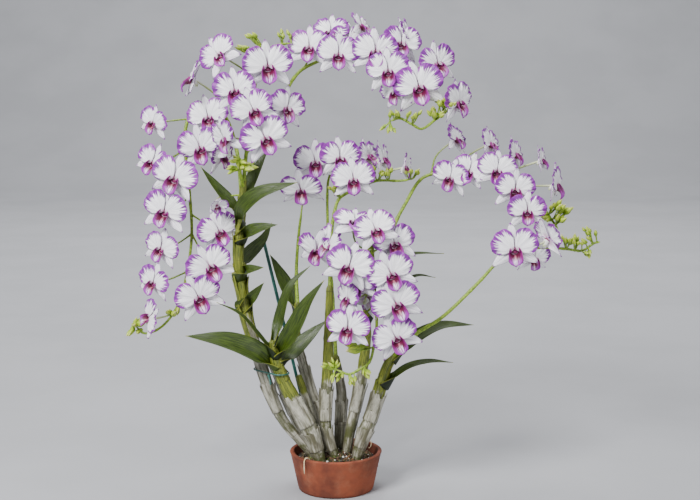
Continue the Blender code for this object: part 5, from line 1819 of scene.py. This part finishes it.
@dataclass
class Supports:
    """The coated plant stake and the wire tie round the left canes."""

    sweep: SweepTree
    foot: Point = (-26, 38, -36)
    top: Point = (-104, 48, 296)
    diameter: float = 0.005

    def stake(self) -> None:
        """Build the ribbed stake with its rounded top."""
        foot, top = from_rim(self.foot), from_rim(self.top)
        route = [foot.lerp(top, k / 120) for k in range(121)]
        radii = np.full(121, 0.94 * self.diameter / 2)
        radii[-3:] *= [0.94, 0.74, 0.3]
        piece = self.sweep.grow("stake_coated", line_mesh("stake_line", [Line(route, radii)]), Sides=20,
                                Node_Spacing=0.012, Node_Height=0.06, Sheath_Step=0.0, Flute_Depth=0.0,
                                Unevenness=0.0001, Grain=100.0, Finish=COATED.material())
        dressed(piece, ("plant_stake",))

    def tie(self) -> None:
        """Give the CAD tie its finish, and add the twisted tail that closes it."""
        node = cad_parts["wire_tie"]
        node.data.materials.clear()
        node.data.materials.append(COATED.material())
        low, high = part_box("wire_tie")
        knot = Vector((low.x + 0.45 * (high.x - low.x), low.y + 0.0012, 0.5 * (low.z + high.z)))
        lines = []
        for strand in range(2):
            route = []
            for k in range(29):
                t = k / 28
                turn = 5.5 * math.pi * t + math.pi * strand
                centre = knot + Vector((0.004 * t, -0.002 - 0.010 * t, -0.010 * t * t))
                route.append(centre + 0.0009 * Vector((math.cos(turn), 0.4 * math.sin(turn), math.sin(turn))))
            lines.append(Line(route, np.full(29, 0.00075)))
        piece = self.sweep.grow("wire_tie_tail", line_mesh("tie_tail_line", lines), Sides=8,
                                Node_Spacing=0.01, Finish=COATED.material())
        dressed(piece)

    def build(self) -> None:
        """Build the stake and the tie."""
        self.stake()
        self.tie()


@dataclass
class DryRoots:
    """The dry root over the front of the rim, and a curled one at the back."""

    sweep: SweepTree
    pot: Pot
    angle: float = -130.0
    diameter: float = 0.0024
    hang: float = 0.020
    curl: tuple[Point, ...] = ((30, 22, -8), (36, 28, -2), (41, 32, 4), (46, 33, 6), (50, 30, 3), (50, 26, -2),
                               (47, 25, -6))

    def strand(self) -> None:
        """Build the strand over the rim, with two thin fibres beside it."""
        clear = self.diameter / 2 + 0.0006
        level = self.pot.height - 0.012
        wall, rim = self.pot.outer(self.pot.height) - self.pot.wall, self.pot.rim
        turn = math.radians(self.angle)
        outward, beside = Vector((math.cos(turn), math.sin(turn), 0)), Vector((-math.sin(turn), math.cos(turn), 0))
        profile = [(wall - 0.007, level + clear + 0.001), (wall - 0.003, level + clear + 0.005),
                   (wall - clear, self.pot.height - 0.001), (wall + 0.002, self.pot.height + clear),
                   (rim - 0.001, self.pot.height + clear), (rim + clear, self.pot.height - 0.002),
                   (rim + clear + 0.0005, self.pot.height - self.hang / 2), (rim + clear, self.pot.height - self.hang)]
        core = smooth_route([outward * reach + Vector((0, 0, height)) for reach, height in profile], 8)
        share = np.linspace(0, 1, len(core))
        lines = [Line(core, 0.0010 * (1 - 0.35 * share) * np.minimum(1, (1.02 - share) * 12))]
        for sway in (1, -1):
            fibre = [point + beside * (sway * 0.0007 * math.sin(9 * t + sway)) + outward * 0.0003
                     for point, t in zip(core[6:-4], share)]
            lines.append(Line(fibre, np.full(len(fibre), 0.0004)))
        piece = self.sweep.grow("root_strand_fibres", line_mesh("strand_line", lines), Sides=12,
                                Node_Spacing=0.0045, Node_Height=0.16, Flutes=4, Flute_Depth=0.10,
                                Unevenness=0.0004, Grain=500.0, Finish=DRY_ROOT.material())
        dressed(piece, ("root_strand",))

    def curled(self) -> None:
        """Build the small curled root that stands up behind the right cane."""
        route = smooth_route([from_rim(point) for point in self.curl], 8)
        share = np.linspace(0, 1, len(route))
        line = Line(route, 0.0008 * (1.1 - 0.6 * share))
        piece = self.sweep.grow("root_curled", line_mesh("curl_line", [line]), Sides=10,
                                Node_Spacing=0.006, Node_Height=0.12, Flutes=3, Flute_Depth=0.08,
                                Unevenness=0.0003, Grain=500.0, Finish=DRY_ROOT.material())
        dressed(piece)

    def build(self) -> None:
        """Build both roots."""
        self.strand()
        self.curled()


# ------------------------------------------------------------------ the studio


@dataclass
class Studio:
    """A pale paper sweep, soft lights and the camera."""

    camera_place: Point = (0.02, -1.79, 0.585)
    camera_pitch: float = 7.0
    lens: float = 66.86
    shift_down: float = 18 / 700
    paper_width: float = 14.0

    def paper(self) -> None:
        """Build the floor that curves up into a backdrop."""
        outline = [(-7.0, 0.0), (-2.0, 0.0), (0.0, 0.0), (4.2, 0.0)]
        outline += [(4.2 + 2.4 * math.sin(turn), 2.4 - 2.4 * math.cos(turn))
                    for turn in (math.pi / 2 * k / 16 for k in range(1, 17))]
        outline.append((6.6, 6.0))
        points = [(x, y, z - 0.0002) for y, z in outline for x in (-self.paper_width / 2, self.paper_width / 2)]
        faces = [(2 * k, 2 * k + 1, 2 * k + 3, 2 * k + 2) for k in range(len(outline) - 1)]
        mesh = bpy.data.meshes.new("studio_floor")
        mesh.from_pydata(points, [], faces)
        mesh.materials.append(StudioFinish().material())
        mesh.shade_smooth()
        linked("studio_floor", mesh)

    def light(self, name: str, place: Point, aim: Point, size: float, power: float) -> None:
        """Hang one soft square light that looks at a point.

        Args:
            name: The light's name.
            place: Where it hangs.
            aim: What it looks at.
            size: The length of its side.
            power: Its power in watts.
        """
        lamp = bpy.data.lights.new(name, "AREA")
        lamp.size = size
        lamp.energy = power
        made = bpy.data.objects.new(name, lamp)
        made.location = place
        made.rotation_euler = (Vector(aim) - Vector(place)).to_track_quat("-Z", "Y").to_euler()
        made.visible_camera = False
        bpy.context.scene.collection.objects.link(made)

    def camera(self) -> None:
        """Set up the camera."""
        lens = bpy.data.cameras.new("camera")
        lens.lens = self.lens
        lens.sensor_width = 36.0
        lens.shift_y = -self.shift_down
        made = bpy.data.objects.new("camera", lens)
        made.location = self.camera_place
        made.rotation_euler = (math.radians(90 - self.camera_pitch), 0, 0)
        bpy.context.scene.collection.objects.link(made)
        bpy.context.scene.camera = made

    def build(self) -> None:
        """Build the paper, the lights, the camera and the dim surroundings."""
        self.paper()
        middle = (0.0, 0.0, 0.35)
        self.light("key_light", (-1.3, -1.9, 2.1), middle, 1.0, 160)
        self.light("fill_light", (1.8, -1.6, 1.0), middle, 1.6, 28)
        self.light("top_light", (0.1, 0.5, 2.3), middle, 1.2, 40)
        self.light("backdrop_light", (0.0, 2.4, 3.4), (0.0, 5.6, 1.0), 3.0, 220)
        world = bpy.data.worlds.new("studio")
        world.use_nodes = True
        surround = world.node_tree.nodes["Background"]
        surround.inputs["Color"].default_value = shade(214, 218, 224)
        surround.inputs["Strength"].default_value = 0.35
        bpy.context.scene.world = world
        self.camera()


def main() -> None:
    """Build the pot, the canes, the leaves, the sprays and the studio."""
    logging.basicConfig(level=logging.INFO, format="%(message)s")
    sweep, buds_tree, scatter = SweepTree(), BudTree(), ScatterTree()
    pot = Pot()
    pot.build()
    PottingMix(scatter, pot).build()
    canes = {name: Cane(name, plan, sweep) for name, plan in CANES.items()}
    for cane in canes.values():
        cane.build()
    for seed, (name, start, end, facing) in enumerate(SHEATHS, 11):
        TornSheath(f"{name}_sheath_{seed}", canes[name], start, end, facing, seed=seed).build()
    for seed, (name, plan) in enumerate(LEAVES.items(), 1):
        cane = canes[plan.cane]
        route = cane.route()
        share = lengths_along(route) / lengths_along(route)[-1]
        nearest = min(range(len(route)), key=lambda i: (route[i] - from_rim(plan.points[0])).length)
        StrapLeaf(name, plan, float(cane.radii(share)[nearest]), seed).build()
        end = float(share[nearest])
        start = end - (0.014 + 0.042 * plan.cup) / lengths_along(route)[-1]
        TornSheath(f"{name}_sheath", cane, start, end + 0.008, 80.0 + 8.0 * (seed % 5), reach=5.4, flare=plan.cup,
                   ragged=0.10, youth=1.0, seed=seed).build()
    bud_form = BudForm().build()
    for seed, (name, plan) in enumerate(SPRAYS.items(), 1):
        Spray(name, plan, sweep, buds_tree, bud_form, seed).build()
    bpy.data.objects.remove(bud_form, do_unlink=True)
    Supports(sweep).build()
    DryRoots(sweep, pot).build()
    Studio().build()


if __name__ == "__main__":
    main()
